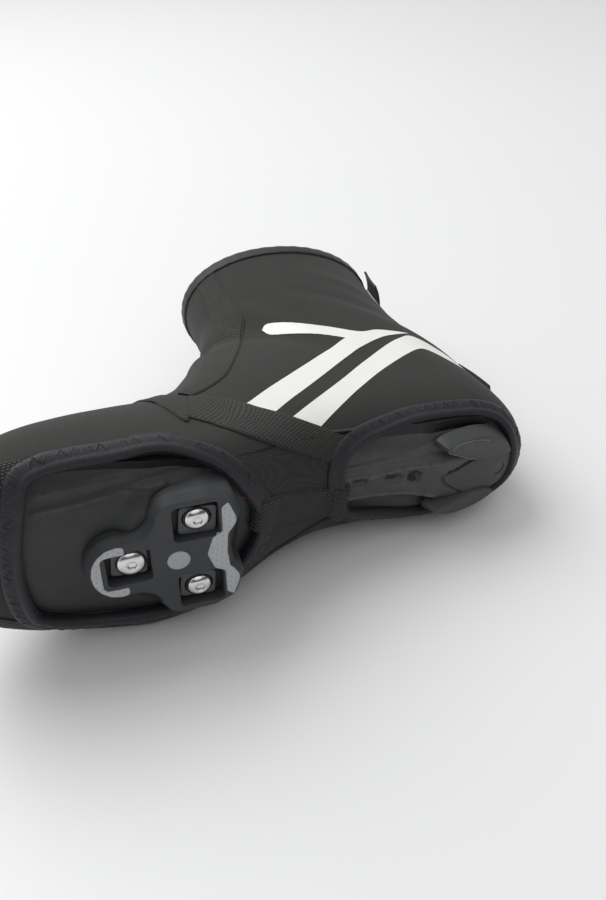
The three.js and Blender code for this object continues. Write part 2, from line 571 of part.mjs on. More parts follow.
const cleatSides = throughRings([
  ringAt(cleatFace, 0),
  ringAt(grown(cleatFace, CLEAT_DRAFT), CLEAT_FLANGE),
  ringAt(grown(cleatFace, CLEAT_DRAFT), CLEAT_TOP),
], new THREE.Vector3(0, 0, 0), new THREE.Vector3(0, 0, CLEAT_TOP));

function rounded(x0, x1, y0, y1, radius) {
  const shape = [];
  for (const [cx, cy, start] of [[x1 - radius, y0 + radius, -90], [x1 - radius, y1 - radius, 0],
    [x0 + radius, y1 - radius, 90], [x0 + radius, y0 + radius, 180]]) {
    for (const step of [0, 45, 90]) {
      const angle = THREE.MathUtils.degToRad(start + step);
      shape.push(new THREE.Vector2(cx + radius * Math.cos(angle), cy + radius * Math.sin(angle)));
    }
  }
  return shape;
}
const POCKET_CORNER = 2;
const pockets = {
  inner: rounded(-0.90 * cleatHalf, -0.31 * cleatHalf, -0.282 * CLEAT_LENGTH, 0.05 * CLEAT_LENGTH, POCKET_CORNER),
  outer: rounded(0.31 * cleatHalf, 0.90 * cleatHalf, -0.282 * CLEAT_LENGTH, 0.05 * CLEAT_LENGTH, POCKET_CORNER),
  front: rounded(-0.25 * cleatHalf, 0.25 * cleatHalf, 0.235 * CLEAT_LENGTH, 0.545 * CLEAT_LENGTH, POCKET_CORNER),
};
const boltPlaces = {
  inner: new THREE.Vector2(-BOLT_SPREAD / 2, -BOLT_BACK),
  outer: new THREE.Vector2(BOLT_SPREAD / 2, -BOLT_BACK),
  front: new THREE.Vector2(0, BOLT_REACH - BOLT_BACK),
};
const padDepth = PAD_THICKNESS;
const NOSE_PAD = [
  [0.00, 0.655], [0.165, 0.642], [0.31, 0.602], [0.415, 0.535], [0.450, 0.455], [0.425, 0.405], [0.300, 0.405],
  [0.310, 0.470], [0.300, 0.555], [0.250, 0.580], [0.00, 0.582],
];
const REAR_PAD = [
  [0.00, -0.175], [0.28, -0.222], [0.36, -0.298], [0.78, -0.300], [0.855, -0.352],
  [0.57, -0.402], [0.47, -0.397], [0.30, -0.335], [0.00, -0.322],
];
const pads = {
  cleat_nose_pad: counterClockwise(vectors(mirrored(NOSE_PAD), cleatHalf, CLEAT_LENGTH)),
  cleat_rear_pad: counterClockwise(vectors(mirrored(REAR_PAD), cleatHalf, CLEAT_LENGTH)),
  cleat_centre_disc: circle(new THREE.Vector2(0, 0.033 * CLEAT_LENGTH), DISC_RADIUS, 18),
};
let cleat = onCleat(cleatSides).subtract(lining);
for (const outline of Object.values(pockets)) cleat = cleat.subtract(onCleat(slab(outline, -1, POCKET_DEPTH)));
for (const place of Object.values(boltPlaces)) {
  cleat = cleat.subtract(onCleat(slab(circle(place, BOLT_RADIUS * 0.62, 12), -1, CLEAT_TOP), boltPlane));
}
for (const outline of Object.values(pads)) {
  cleat = cleat.subtract(onCleat(slab(grown(outline, CLEARANCE), -1, padDepth + CLEARANCE)));
}
for (const name of Object.keys(bindings)) {
  const outline = windows[name];
  cleat = cleat.subtract(down(grown(outline, 2 * BINDING_WIDTH), UNDER, UNDER - 1 < 0 ? BALL_HEIGHT : 0)
    .subtract(down(grown(outline, -LIP - 3 * CLEARANCE), UNDER - 1, BALL_HEIGHT + 1))
    .intersect(form(-BINDING - 3 * CLEARANCE)));
}
add("cleat_body", cleat, MOULDED(COLORS.cleat));
for (const [name, outline] of Object.entries(pads)) {
  add(name, onCleat(slab(outline, -PAD_PROUD, padDepth)), MOULDED(COLORS.pad));
}

// Three domed bolts, each through a washer on its pocket's floor
const washerEdge = { x: 0.19 * cleatHalf, y: 0.125 * CLEAT_LENGTH };
const shankRadius = BOLT_RADIUS * 0.52;
for (const [name, place] of Object.entries(boltPlaces)) {
  const wide = name === "front" ? washerEdge.x * 1.02 : washerEdge.x;
  const plateShape = rounded(place.x - wide, place.x + wide, place.y - washerEdge.y * 0.9, place.y + washerEdge.y * 0.9, POCKET_CORNER);
  const washerLow = POCKET_DEPTH - CLEARANCE - WASHER;
  const hole = onCleat(slab(circle(place, shankRadius + CLEARANCE, 12), -1, CLEAT_TOP), boltPlane);
  const washer = onCleat(slab(plateShape, washerLow, POCKET_DEPTH - CLEARANCE), boltPlane)
    .intersect(onCleat(slab(grown(pockets[name], -CLEARANCE), -1, CLEAT_TOP)))
    .subtract(hole);
  add(`cleat_washer_${name}`, washer, [COLORS.washer, 0.6, 0.3]);
  const head = domed(BOLT_RADIUS, BOLT_DOME, 0.6);
  head.translate(place.x, place.y, washerLow - CLEARANCE - 0.6);
  const shank = new THREE.CylinderGeometry(shankRadius, shankRadius, CLEAT_TOP, 10);
  shank.rotateX(Math.PI / 2);
  shank.translate(place.x, place.y, washerLow - CLEARANCE - 0.3 + CLEAT_TOP / 2);
  const socket = slab(circle(place, HEX_ACROSS / Math.sqrt(3), 6), washerLow - BOLT_DOME - 2, washerLow - BOLT_DOME + HEX_DEPTH - 0.9);
  const bolt = onCleat(head, boltPlane).add(onCleat(shank, boltPlane).subtract(lining)).subtract(onCleat(socket, boltPlane));
  add(`cleat_bolt_${name}`, bolt, [COLORS.steel, 0.2, 1]);
}

// Lay it down: the floor touches the outer side at the ball, the heel and the collar
const zones = [
  (p) => p.y > 0.5 * FOOT_LENGTH,
  (p) => p.y < 0.4 * FOOT_LENGTH && p.z < 0.4 * ANKLE_HEIGHT,
  (p) => p.z > 0.75 * SHAFT_HEIGHT,
];
const allPoints = upright.flatMap((mesh) => {
  const position = mesh.geometry.attributes.position;
  return Array.from({ length: position.count }, (_, i) => new THREE.Vector3().fromBufferAttribute(position, i));
});
let outwards = new THREE.Vector3(1, 0, 0);
for (let round = 0; round < 8; round += 1) {
  const touching = zones.map((zone) => allPoints.filter(zone).reduce((best, p) => (
    p.dot(outwards) > best.dot(outwards) ? p : best)));
  outwards = touching[1].clone().sub(touching[0]).cross(touching[2].clone().sub(touching[0])).normalize();
  if (outwards.x < 0) outwards.negate();
}
const up = outwards.clone().negate();
const ahead = new THREE.Vector3(0, 1, 0).addScaledVector(up, -up.y).normalize();
const right = ahead.clone().cross(up);
const laidDown = new THREE.Matrix4().makeBasis(right, ahead, up).transpose();
const box = new THREE.Box3().setFromPoints(allPoints.map((p) => p.clone().applyMatrix4(laidDown)));
const center = box.getCenter(new THREE.Vector3());
for (const mesh of upright) {
  mesh.geometry.applyMatrix4(laidDown).translate(-center.x, -center.y, -box.min.z);
  whole.add(mesh);
}

export default whole;
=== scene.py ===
# %% [markdown]
# # A cycling overshoe over its shoe's sole
#
# An overshoe is a sock of neoprene that keeps rain and wind off a cycling shoe. It is sewn from a few
# stretchy panels, and it has two bound windows underneath, so that the cleat and the heel still reach
# pedal and ground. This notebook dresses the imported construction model. The frame gives the place of
# each piece, and each cell below makes one piece or one finish the way a maker would.
#
# Everything is worked out upright, in millimetres, as worn on a right foot: x to the little toe, y to
# the toes, z up. One matrix then lays each piece on its outer side, where the frame has it.

# %% Load the frame
import math

import bpy
import bmesh
import numpy as np
from mathutils import Matrix, Vector, geometry
from mathutils.bvhtree import BVHTree


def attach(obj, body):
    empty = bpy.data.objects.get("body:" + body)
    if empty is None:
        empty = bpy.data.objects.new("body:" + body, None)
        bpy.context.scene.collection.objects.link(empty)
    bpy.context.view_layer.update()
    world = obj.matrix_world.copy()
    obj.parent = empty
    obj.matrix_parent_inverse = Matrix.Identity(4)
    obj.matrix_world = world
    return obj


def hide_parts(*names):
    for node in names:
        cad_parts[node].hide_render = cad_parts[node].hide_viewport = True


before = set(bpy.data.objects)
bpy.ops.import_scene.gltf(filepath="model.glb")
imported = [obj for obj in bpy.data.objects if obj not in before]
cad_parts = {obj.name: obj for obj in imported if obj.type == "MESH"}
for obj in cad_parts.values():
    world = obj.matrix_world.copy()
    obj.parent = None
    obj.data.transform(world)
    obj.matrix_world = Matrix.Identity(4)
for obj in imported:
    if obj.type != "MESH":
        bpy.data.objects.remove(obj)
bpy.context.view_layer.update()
random = np.random.default_rng(7)
print("CAD nodes:", len(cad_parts))

# %% [markdown]
# ## Sizes and the way it lies
#
# The driving sizes are the construction model's own. Two turns lay the upright shoe on its outer side:
# it tips over onto its side about the line from heel to toe, and then rocks about the frame's x until
# ball, heel and collar are down. LAID_AT is where the upright origin, on the ground under the back of
# the sole, comes to lie, in millimetres from the frame's origin.

# %% Sizes shared with the frame
FOOT_LENGTH, HALF_BALL, BALL_HEIGHT = 293.0, 52.0, 84.0
HALF_WAIST, ANKLE_HEIGHT, ARCH_HEIGHT = 37.0, 150.0, 16.0
SHAFT_DEPTH, SHAFT_HEIGHT, HALF_SHAFT = 116.0, 212.0, 39.5
WALL, GAP, PLATE = 3.0, 0.3, 6.0
TIP_OVER, ROCK = 87.4982, 6.9055
LAID_AT = (-104.1758, -135.0341, 30.2269)
LAID = np.array(Matrix.Rotation(math.radians(ROCK), 3, "X") @ Matrix.Rotation(math.radians(TIP_OVER), 3, "Y"))


def laid(points):
    """Upright millimetres to the frame's metres."""
    return (np.asarray(points, float) @ LAID.T + np.array(LAID_AT)) / 1000.0


print("foot length", FOOT_LENGTH, "mm")


# %% [markdown]
# ## The foot's form
#
# The overshoe takes the form of the shoe in it. The form is a stack of rounded sections from the toe
# over the instep and round the heel up to the collar. Each row of the tables is one section: where it
# starts underneath and ends on top, its half width on each side, its sideways shift, how far up it is
# widest, and how square it is low on each side and on top. The first seven are shares of the sizes that
# sized() names. A smooth curve runs between the rows.

# %% Sections
FOREFOOT = [
    # keelY keelZ ridgeY ridgeZ inner outer middle widest lowIn lowOut top
    (1.000, 0.524, 1.000, 0.506, 0.010, 0.010, -0.077, 0.50, 2.0, 2.0, 2.0),
    (0.995, 0.440, 0.995, 0.601, 0.327, 0.327, -0.077, 0.48, 2.2, 2.1, 2.0),
    (0.980, 0.381, 0.980, 0.690, 0.558, 0.538, -0.077, 0.44, 2.4, 2.1, 2.0),
    (0.945, 0.321, 0.945, 0.786, 0.740, 0.721, -0.058, 0.38, 2.6, 2.1, 2.1),
    (0.894, 0.268, 0.894, 0.869, 0.865, 0.865, -0.038, 0.33, 2.8, 2.1, 2.2),
    (0.829, 0.208, 0.829, 0.946, 0.952, 0.971, -0.019, 0.30, 3.0, 2.1, 2.3),
    (0.754, 0.149, 0.754, 1.006, 0.981, 1.029, 0, 0.28, 3.0, 2.1, 2.3),
    (0.676, 0.089, 0.676, 1.054, 0.962, 1.048, 0.019, 0.28, 3.0, 2.2, 2.3),
    (0.597, 0.060, 0.597, 1.125, 0.885, 1.000, 0.019, 0.29, 3.0, 2.3, 2.2),
]
WAIST = [
    (0.522, 0.560, 0.536, 0.693, 1.108, 1.284, 0.027, 0.31, 2.9, 2.4, 2.2),
    (0.444, 0.906, 0.488, 0.787, 1.014, 1.162, 0.027, 0.34, 2.8, 2.5, 2.2),
    (0.362, 1.000, 0.454, 0.860, 0.973, 1.068, 0, 0.36, 2.7, 2.6, 2.2),
    (0.273, 0.750, 0.430, 0.910, 0.959, 1.027, 0, 0.38, 2.7, 2.7, 2.2),
    (0.177, 0.250, 0.411, 0.947, 0.959, 1.000, 0, 0.38, 2.8, 2.8, 2.2),
    (0.089, 0.063, 0.399, 0.977, 0.973, 0.986, 0, 0.36, 2.8, 2.8, 2.2),
    (0.020, 0.125, 0.391, 1.003, 0.973, 0.986, 0, 0.36, 2.6, 2.6, 2.2),
    (-0.017, 0.563, 0.384, 1.027, 0.973, 0.986, 0, 0.38, 2.4, 2.4, 2.2),
    (-0.031, 1.500, 0.377, 1.050, 0.973, 0.986, 0, 0.40, 2.3, 2.3, 2.2),
    (-0.036, 2.875, 0.370, 1.080, 0.973, 0.986, 0, 0.44, 2.2, 2.2, 2.2),
]
SHAFT = [
    (-0.431, 0.349, 0.572, 0.790, 0.924, 0.937, 0, 0.46, 2.2, 2.2, 2.2),
    (-0.402, 0.486, 0.555, 0.823, 0.937, 0.949, 0, 0.48, 2.1, 2.1, 2.1),
    (-0.406, 0.618, 0.542, 0.870, 0.949, 0.962, 0, 0.50, 2.1, 2.1, 2.1),
    (-0.441, 0.745, 0.525, 0.929, 0.975, 0.987, 0, 0.50, 2.1, 2.1, 2.1),
    (-0.497, 0.873, 0.503, 1.000, 1.000, 1.013, 0, 0.50, 2.1, 2.1, 2.1),
]
ANKLE_AT = 0.137 * FOOT_LENGTH


def sized(shares, long, low, high, half, start=0.0):
    """Rows of shares as millimetres."""
    scale = np.array([long, low, long, high, half, half, half, 1, 1, 1, 1])
    moved = np.zeros(11)
    moved[[0, 2]] = start
    return np.array(shares) * scale + moved


SECTIONS = np.concatenate([
    sized(FOREFOOT, FOOT_LENGTH, BALL_HEIGHT, BALL_HEIGHT, HALF_BALL),
    sized(WAIST, FOOT_LENGTH, ARCH_HEIGHT, ANKLE_HEIGHT, HALF_WAIST),
    sized(SHAFT, SHAFT_DEPTH, SHAFT_HEIGHT, SHAFT_HEIGHT, HALF_SHAFT, ANKLE_AT),
])
COLLAR = len(SECTIONS) - 1


def eased(a, b, c, d, t):
    """From b to c as t goes from 0 to 1, on the smooth curve through a, b, c and d."""
    return 0.5 * (2 * b + (c - a) * t + (2 * a - 5 * b + 4 * c - d) * t**2 + (3 * b - a - 3 * c + d) * t**3)


def unit(vectors):
    return vectors / np.maximum(np.linalg.norm(vectors, axis=-1, keepdims=True), 1e-9)


def onwards(points):
    """The unit way along a closed line at each of its points."""
    return unit(np.roll(points, -1, axis=0) - np.roll(points, 1, axis=0))


def form(u, v):
    """A point of the smooth outer form: u from toe to collar, v once round from underneath."""
    u, v = np.broadcast_arrays(np.asarray(u, float), np.asarray(v, float))
    i = np.clip(np.floor(u).astype(int), 0, COLLAR - 1)
    t = (u - i)[..., None]
    b, c = SECTIONS[i], SECTIONS[i + 1]
    a = np.where((i > 0)[..., None], SECTIONS[np.maximum(i - 1, 0)], 2 * b - c)
    d = np.where((i < COLLAR - 1)[..., None], SECTIONS[np.minimum(i + 2, COLLAR)], 2 * c - b)
    row = np.where(t > 1, c + (t - 1) * (c - a) / 2, eased(a, b, c, d, t))
    keel_y, keel_z, ridge_y, ridge_z, inner, outer = np.moveaxis(row[..., :6], -1, 0)
    middle, widest, low_in, low_out, top = np.moveaxis(row[..., 6:], -1, 0)
    low, side = np.cos(2 * np.pi * v), np.sin(2 * np.pi * v)
    power = 2 / np.where(low > 0, np.where(side > 0, low_out, low_in), top)
    rise = np.abs(low) ** power
    up = np.where(low > 0, widest * (1 - rise), widest + (1 - widest) * rise)
    x = middle + np.sign(side) * np.where(side > 0, outer, inner) * np.abs(side) ** power
    return np.stack([x, keel_y + (ridge_y - keel_y) * up, keel_z + (ridge_z - keel_z) * up], -1)


def form_normal(u, v):
    step = 0.004
    along = form(u + step, v) - form(np.maximum(u - step, 0), v)
    across = form(u, v + step) - form(u, v - step)
    return unit(np.cross(across, along))


print("ball width", round(float(np.ptp(form(6.5, np.linspace(0, 1, 90))[:, 0])), 1), "mm")

# %% [markdown]
# ## Creases
#
# Neoprene is thick and springy, so it folds in few, soft troughs: where the ankle bends, where a panel
# is pulled by a binding, and over the heel cord. Each row places one trough or ridge on the
# form: its two ends in u and v, its depth and its half width. They are smooth bumps in the wall, not
# noise, because a fold has a start, an end and a direction.

# %% Creases
CREASES = [
    # u0     v0     u1     v1    depth  width
    (12.3, 0.400, 15.2, 0.640, -2.2, 7.0),
    (11.2, 0.430, 11.8, 0.600, 1.2, 7.0),
    (16.0, 0.400, 18.0, 0.620, 1.0, 8.0),
    (19.0, 0.560, 14.6, 0.690, -0.9, 5.0),
    (20.5, 0.600, 15.5, 0.720, 0.7, 5.0),
    (19.6, 0.900, 20.4, 0.720, -1.0, 6.0),
    (21.0, 0.930, 21.6, 0.760, 0.8, 6.0),
    (18.4, 0.920, 18.9, 0.800, 0.6, 7.0),
    (19.4, 0.090, 20.2, 0.260, -1.1, 6.0),
    (12.6, 0.200, 13.4, 0.370, -0.9, 7.0),
    (9.4, 0.700, 10.8, 0.800, -0.5, 6.0),
    (8.6, 0.760, 10.2, 0.860, 0.5, 5.0),
    (9.0, 0.230, 10.6, 0.140, -0.7, 6.0),
]


def creasing(points):
    """How far each point stands out of the smooth form, in mm."""
    height = np.zeros(points.shape[:-1])
    for u0, v0, u1, v1, depth, width in CREASES:
        t = np.linspace(0, 1, 25)
        line = form(u0 + (u1 - u0) * t, v0 + (v1 - v0) * t)
        away = np.linalg.norm(points[..., None, :] - line, axis=-1)
        nearest = away.argmin(-1)
        ends = np.sin(np.pi * (0.12 + 0.76 * t[nearest]))
        height += depth * ends * np.exp(-(away.min(-1) / width) ** 2)
    return height


def surface(u, v, lift=0.0):
    """A point of the creased skin, lifted off it by so many millimetres."""
    base = form(u, v)
    normal = form_normal(u, v)
    out = creasing(base) + lift
    return base + normal * out[..., None]


print("creases:", len(CREASES))

# %% [markdown]
# ## Finding a place on the skin
#
# Panels, seams and windows are laid out on flat drawings, seen from below or from the side. To sew them
# on, each drawn point is looked up on the form: the nearest of many samples first, then two steps of
# Newton's method. walk() goes a given way along the skin, which keeps a band's width true round bends.

# %% Look-ups on the form
U_GRID, V_GRID = np.meshgrid(np.arange(0.1, COLLAR + 0.001, 0.06), np.arange(0, 1, 1 / 320), indexing="ij")
FORM_SAMPLES = form(U_GRID, V_GRID)


def settle(u, v, target, axes):
    """Newton steps in u and v until the form's chosen axes meet the target."""
    for _ in range(5):
        at = form(u, v)[..., axes]
        du = (form(u + 0.01, v)[..., axes] - at) / 0.01
        dv = (form(u, v + 0.001)[..., axes] - at) / 0.001
        step_u, step_v = [], []
        for tu, tv, gap in zip(du, dv, target - at):
            (su, sv), *_ = np.linalg.lstsq(np.stack([tu, tv], -1), gap, rcond=1e-6)
            step_u.append(np.clip(su, -0.5, 0.5))
            step_v.append(np.clip(sv, -0.03, 0.03))
        u, v = u + np.array(step_u), v + np.array(step_v)
    return u, v


def look_up(target, axes, wanted):
    target = np.asarray(target, float)
    samples = FORM_SAMPLES[wanted][:, axes]
    us, vs = U_GRID[wanted], V_GRID[wanted]
    nearest = [int(((samples - p) ** 2).sum(-1).argmin()) for p in target]
    return settle(us[nearest], vs[nearest], target, axes)


def underneath(xy):
    """u and v under each x, y of a drawing seen from below."""
    return look_up(xy, [0, 1], (V_GRID < 0.22) | (V_GRID > 0.78))


def beside(yz, inner=True):
    """u and v of each y, z of a drawing seen from one side."""
    return look_up(yz, [1, 2], (V_GRID > 0.5) if inner else (V_GRID < 0.5))


def walk(u, v, way):
    """Goes from u, v by a vector that lies along the skin."""
    return settle(u, v, form(u, v) + way, [0, 1, 2])


print("samples:", FORM_SAMPLES.shape[0] * FORM_SAMPLES.shape[1])

# %% [markdown]
# ## Shader arithmetic
#
# Node trees get long when each sum is placed by hand. Signal wraps one socket, so that a finish can be
# written as a formula: each operator adds the Math node it stands for. Finish holds a material with its
# Principled shader, and node() is the one way in which any other node is made. Settings that are the
# same all over a piece are put straight on the shader's own sockets.

# %% Signals and finishes
class Signal:
    """One socket's output, ready for arithmetic."""

    def __init__(self, finish, socket):
        self.finish, self.socket = finish, socket

    def maths(self, operation, *values, clamp=False):
        return self.finish.node("Math", {"operation": operation, "use_clamp": clamp}, list(values))

    def __add__(self, other):
        return self.maths("ADD", self, other)

    def __sub__(self, other):
        return self.maths("SUBTRACT", self, other)

    def __rsub__(self, other):
        return self.maths("SUBTRACT", other, self)

    def __mul__(self, other):
        return self.maths("MULTIPLY", self, other)

    def __truediv__(self, other):
        return self.maths("DIVIDE", self, other)

    __radd__ = __add__
    __rmul__ = __mul__

    def sine(self):
        return self.maths("SINE", self)

    def size(self):
        return self.maths("ABSOLUTE", self)

    def fraction(self):
        return self.maths("FRACT", self)

    def whole(self):
        return self.maths("FLOOR", self)

    def root(self):
        return self.maths("SQRT", self)

    def most(self, other):
        return self.maths("MAXIMUM", self, other)

    def ramp(self, low, high):
        """0 at low and below, 1 at high and above, smooth between."""
        settings = {"interpolation_type": "SMOOTHSTEP"}
        return self.finish.node("MapRange", settings, [self, low, high, 0.0, 1.0])


class Finish:
    """A material of one Principled shader."""

    def __init__(self, name, **constants):
        self.material = bpy.data.materials.new(name)
        self.material.use_nodes = True
        self.tree = self.material.node_tree
        self.shader = self.tree.nodes["Principled BSDF"]
        for socket, value in constants.items():
            self.shader.inputs[socket.replace("_", " ")].default_value = value
        self.kept = {}

    def node(self, kind, settings=None, values=(), output=0):
        made = self.tree.nodes.new("ShaderNode" + kind)
        for key, value in (settings or {}).items():
            if key == "stops":
                for element, (place, colour) in zip(made.color_ramp.elements, value):
                    element.position, element.color = place, colour
            else:
                setattr(made, key, value)
        pairs = values.items() if isinstance(values, dict) else enumerate(values)
        for key, value in pairs:
            if isinstance(value, Signal):
                self.tree.links.new(value.socket, made.inputs[key])
            else:
                made.inputs[key].default_value = value
        return Signal(self, made.outputs[output])

    def feed(self, socket, signal):
        self.tree.links.new(signal.socket, self.shader.inputs[socket])
        return self

    def upright(self):
        """The point's x, y and z on the upright shoe, in millimetres."""
        if "upright" not in self.kept:
            spot = self.node("TexCoord", output="Object")
            axes = []
            for axis in LAID.T:
                offset = -float(axis @ LAID_AT)
                scaled = tuple(1000 * float(a) for a in axis)
                turned = self.node("VectorMath", {"operation": "DOT_PRODUCT"}, [spot, scaled], "Value")
                axes.append(turned + offset)
            self.kept["upright"] = axes
        return self.kept["upright"]

    def spot(self):
        if "spot" not in self.kept:
            self.kept["spot"] = self.node("CombineXYZ", None, self.upright())
        return self.kept["spot"]

    def cloth(self):
        """Along and across the cloth in millimetres, from the piece's own map."""
        if "cloth" not in self.kept:
            flat = self.node("UVMap", {"uv_map": "cloth"})
            apart = self.node("SeparateXYZ", None, [flat], "X")
            self.kept["cloth"] = (apart, Signal(self, apart.socket.node.outputs["Y"]))
        return self.kept["cloth"]

    def noise(self, size, detail=2.0, rough=0.5, on=None):
        values = {"Vector": on or self.spot(), "Scale": 1.0 / size, "Detail": detail, "Roughness": rough}
        return self.node("TexNoise", None, values, "Fac")

    def between(self, amount, first, second):
        """A colour from first to second."""
        return self.node("Mix", {"data_type": "RGBA"}, {0: amount, 6: first, 7: second}, 2)

    def bump(self, height, depth, strength=1.0):
        values = {"Height": height, "Distance": depth / 1000, "Strength": strength}
        return self.feed("Normal", self.node("Bump", None, values))


print("signals ready")

# %% [markdown]
# ## Finishes of the cloth
#
# Three cloths show outside. The panels are neoprene faced with a fine jersey: nearly black, matt, with a soft
# sheen at a glance along it. The reinforcements are a coarse elastic weave of short staggered cells,
# painted lighter on their crowns as highlight and darker between them as shade. The bindings are a
# smooth navy elastic with fine cross ribs. Each repeat is written in millimetres, so it keeps its true
# size on the piece.

# %% Neoprene
neoprene = Finish("neoprene_jersey", Roughness=0.85, Sheen_Weight=0.06, Sheen_Roughness=0.45)
x, y, z = neoprene.upright()
rib = ((y * 0.75 + z * 0.66 + x * 0.35) * (2 * math.pi / 0.95)).sine()
cross_rib = ((z * 0.75 - y * 0.66 + x * 0.2) * (2 * math.pi / 1.25)).sine()
knit = rib * cross_rib
cloud = neoprene.noise(26, 3)
lint = neoprene.noise(1.1, 2).ramp(0.66, 0.78)
tone = neoprene.between(cloud, (0.0125, 0.0120, 0.0112, 1), (0.0215, 0.0206, 0.0192, 1))
worn = neoprene.between(knit.ramp(-0.2, 1.0) * 0.35 + lint * 0.25, tone, (0.055, 0.053, 0.048, 1))
neoprene.feed("Base Color", worn)
neoprene.bump(knit * 0.5 + neoprene.noise(0.9, 3), 0.16)

# %% [markdown]
# ## Lining
#
# The inside is a short fleece without the jersey's ribs. It shows only inside the collar and where a
# window's edge stands off the sole.

# %% Neoprene's lining
lining = Finish("overshoe_lining", Roughness=0.9, Sheen_Weight=0.3)
pile = lining.noise(0.8, 3)
lining.feed("Base Color", lining.between(pile, (0.012, 0.012, 0.013, 1), (0.028, 0.028, 0.030, 1)))
lining.bump(pile, 0.25)

# %% [markdown]
# ## Coarse weave
#
# Each cell is one float of a thick elastic yarn. Rows are shifted by half a cell, and an uneven pull
# makes some crowns rise higher. Each crown is painted lighter as highlight, the higher ones more, and
# the gaps between cells are painted near black as shade.

# %% Coarse weave
weave = Finish("coarse_weave", Roughness=0.8, Sheen_Weight=0.05)
along, across = weave.cloth()
CELL_LONG, CELL_WIDE = 1.9, 1.15
row = (across / CELL_WIDE).whole()
shifted = along / CELL_LONG + (row * 0.5)
crown = (shifted * math.pi).sine().size() * ((across / CELL_WIDE) * math.pi).sine().size()
uneven = weave.noise(1.7, 2)
crown = crown * (uneven * 0.6 + 0.62)
# The crowns' colour is painted highlight, and the gaps between them painted shade.
painted_crown_light = crown.ramp(0.18, 0.95)
weave.feed("Base Color", weave.between(painted_crown_light, (0.006, 0.006, 0.0055, 1), (0.060, 0.0575, 0.051, 1)))
weave.bump(crown, 0.55)

# %% [markdown]
# ## Binding, thread, tape and print
#
# The binding is smoother than the weave, with ribs across it at under a millimetre. Tape is woven close
# and flat. The print is a pale film, and the strip up the back is a duller reflective tape.

# %% Binding
binding = Finish("binding_elastic", Roughness=0.55, Sheen_Weight=0.08, Sheen_Roughness=0.35)
along, across = binding.cloth()
cross_ribs = (along * (2 * math.pi / 0.9)).sine()
slub = binding.noise(5, 3)
binding.feed("Base Color", binding.between(slub, (0.0050, 0.0050, 0.0090, 1), (0.0115, 0.0115, 0.0195, 1)))
binding.bump(cross_ribs * 0.2 + binding.noise(2.2, 3), 0.2)

# %% Thread, tape and print
thread = Finish("thread", Roughness=0.55)
caught = thread.noise(1.6).ramp(0.4, 0.7)
thread.feed("Base Color", thread.between(caught, (0.007, 0.007, 0.012, 1), (0.055, 0.055, 0.07, 1)))
thread.bump(thread.noise(0.3), 0.1)

tape = Finish("black_tape", Roughness=0.72, Sheen_Weight=0.15)
along, across = tape.cloth()
tape_rib = (along * (2 * math.pi / 1.1)).sine() * (across * (2 * math.pi / 0.8)).sine()
tape.feed("Base Color", tape.between(tape.noise(8), (0.006, 0.006, 0.007, 1), (0.016, 0.016, 0.018, 1)))
tape.bump(tape_rib, 0.15)

print_film = Finish("pale_print", Roughness=0.42)
grain = print_film.noise(1.2, 3)
film_tone = print_film.between(print_film.noise(18), (0.78, 0.78, 0.745, 1), (0.86, 0.86, 0.83, 1))
print_film.feed("Base Color", film_tone)
print_film.bump(grain, 0.06)

reflective = Finish("pale_tape", Roughness=0.38)
bead = reflective.noise(0.7, 2)
reflective.feed("Base Color", reflective.between(bead, (0.50, 0.50, 0.49, 1), (0.66, 0.66, 0.65, 1)))
reflective.bump(bead, 0.08)
print("materials so far:", len(bpy.data.materials))

# %% [markdown]
# ## Finishes of the sole and the cleat
#
# The sole is moulded in a dark nylon with a satin skin. Dust and fine rubbing make it paler and less
# even towards the heel, where it meets the ground. Its ribs' crests are painted paler as highlight, and
# its hollows near black as shade. Its three vents are painted black as the shade inside them, and the
# relief sinks them. The cleat is a like nylon with grip pads of pale rubber. Its domed bolts are
# polished steel, and stand on grey plates in black pockets.

# %% Sole
VENTS = [
    # middle x and y, half width, half length
    (-0.6, 89.4, 1.7, 4.1), (-0.4, 72.0, 1.7, 4.2), (-0.8, 61.8, 3.2, 3.2),
]
sole = Finish("sole_nylon")
x, y, z = sole.upright()
heelward = y.ramp(170.0, 60.0)
dust = sole.noise(7, 5, 0.62)
dust = dust.ramp(0.42, 0.78)
scuff = sole.noise(2.2, 4, 0.7).ramp(0.60, 0.74)
body = sole.between(heelward, (0.0135, 0.0145, 0.0145, 1), (0.046, 0.0465, 0.0455, 1))
dusty = sole.between((dust * 0.22 + scuff * 0.10) * (heelward * 0.8 + 0.2), body, (0.115, 0.116, 0.112, 1))
# The ribs' crests are painted paler as highlight; the flank hollow and V groove near black as shade.
crest_highlight, hollow_shade = sole.cloth()
lit = sole.between(crest_highlight * sole.noise(3, 3).ramp(0.3, 0.6) * 0.5, dusty, (0.16, 0.16, 0.155, 1))
shaded = sole.between(hollow_shade, lit, (0.004, 0.004, 0.004, 1))
# The vents' mouths are painted black as the shade inside the holes.
vent_shade = None
for cx, cy, half_x, half_y in VENTS:
    across, along = (x - cx) / half_x, (y - cy) / half_y
    vent_mouth_shade = (across * across + along * along).root().ramp(1.05, 0.93)
    vent_shade = vent_mouth_shade if vent_shade is None else vent_shade.most(vent_mouth_shade)
notch = ((x - 0.2) * (x - 0.2) + (y - 56.2) * (y - 56.2)).root().ramp(3.3, 3.6)
shaded = sole.between(vent_shade * notch, shaded, (0.002, 0.002, 0.002, 1))
toe_red = (x - (50.5 - y * 0.047)).size().ramp(0.9, 0.5) * y.ramp(224.0, 229.0) * y.ramp(247.0, 243.0)
spot_x, spot_y = (x + 15.1) / 0.8, (y - 155.1) / 1.6
spot_red = (spot_x * spot_x + spot_y * spot_y).ramp(1.0, 0.6)
sole.feed("Base Color", sole.between(toe_red.most(spot_red), shaded, (0.36, 0.010, 0.010, 1)))
sole.feed("Roughness", sole.noise(9, 4) * 0.22 + 0.33)
sole.bump(sole.noise(0.5, 3) * 0.4 + sole.noise(4, 3) * 0.6, 0.12)

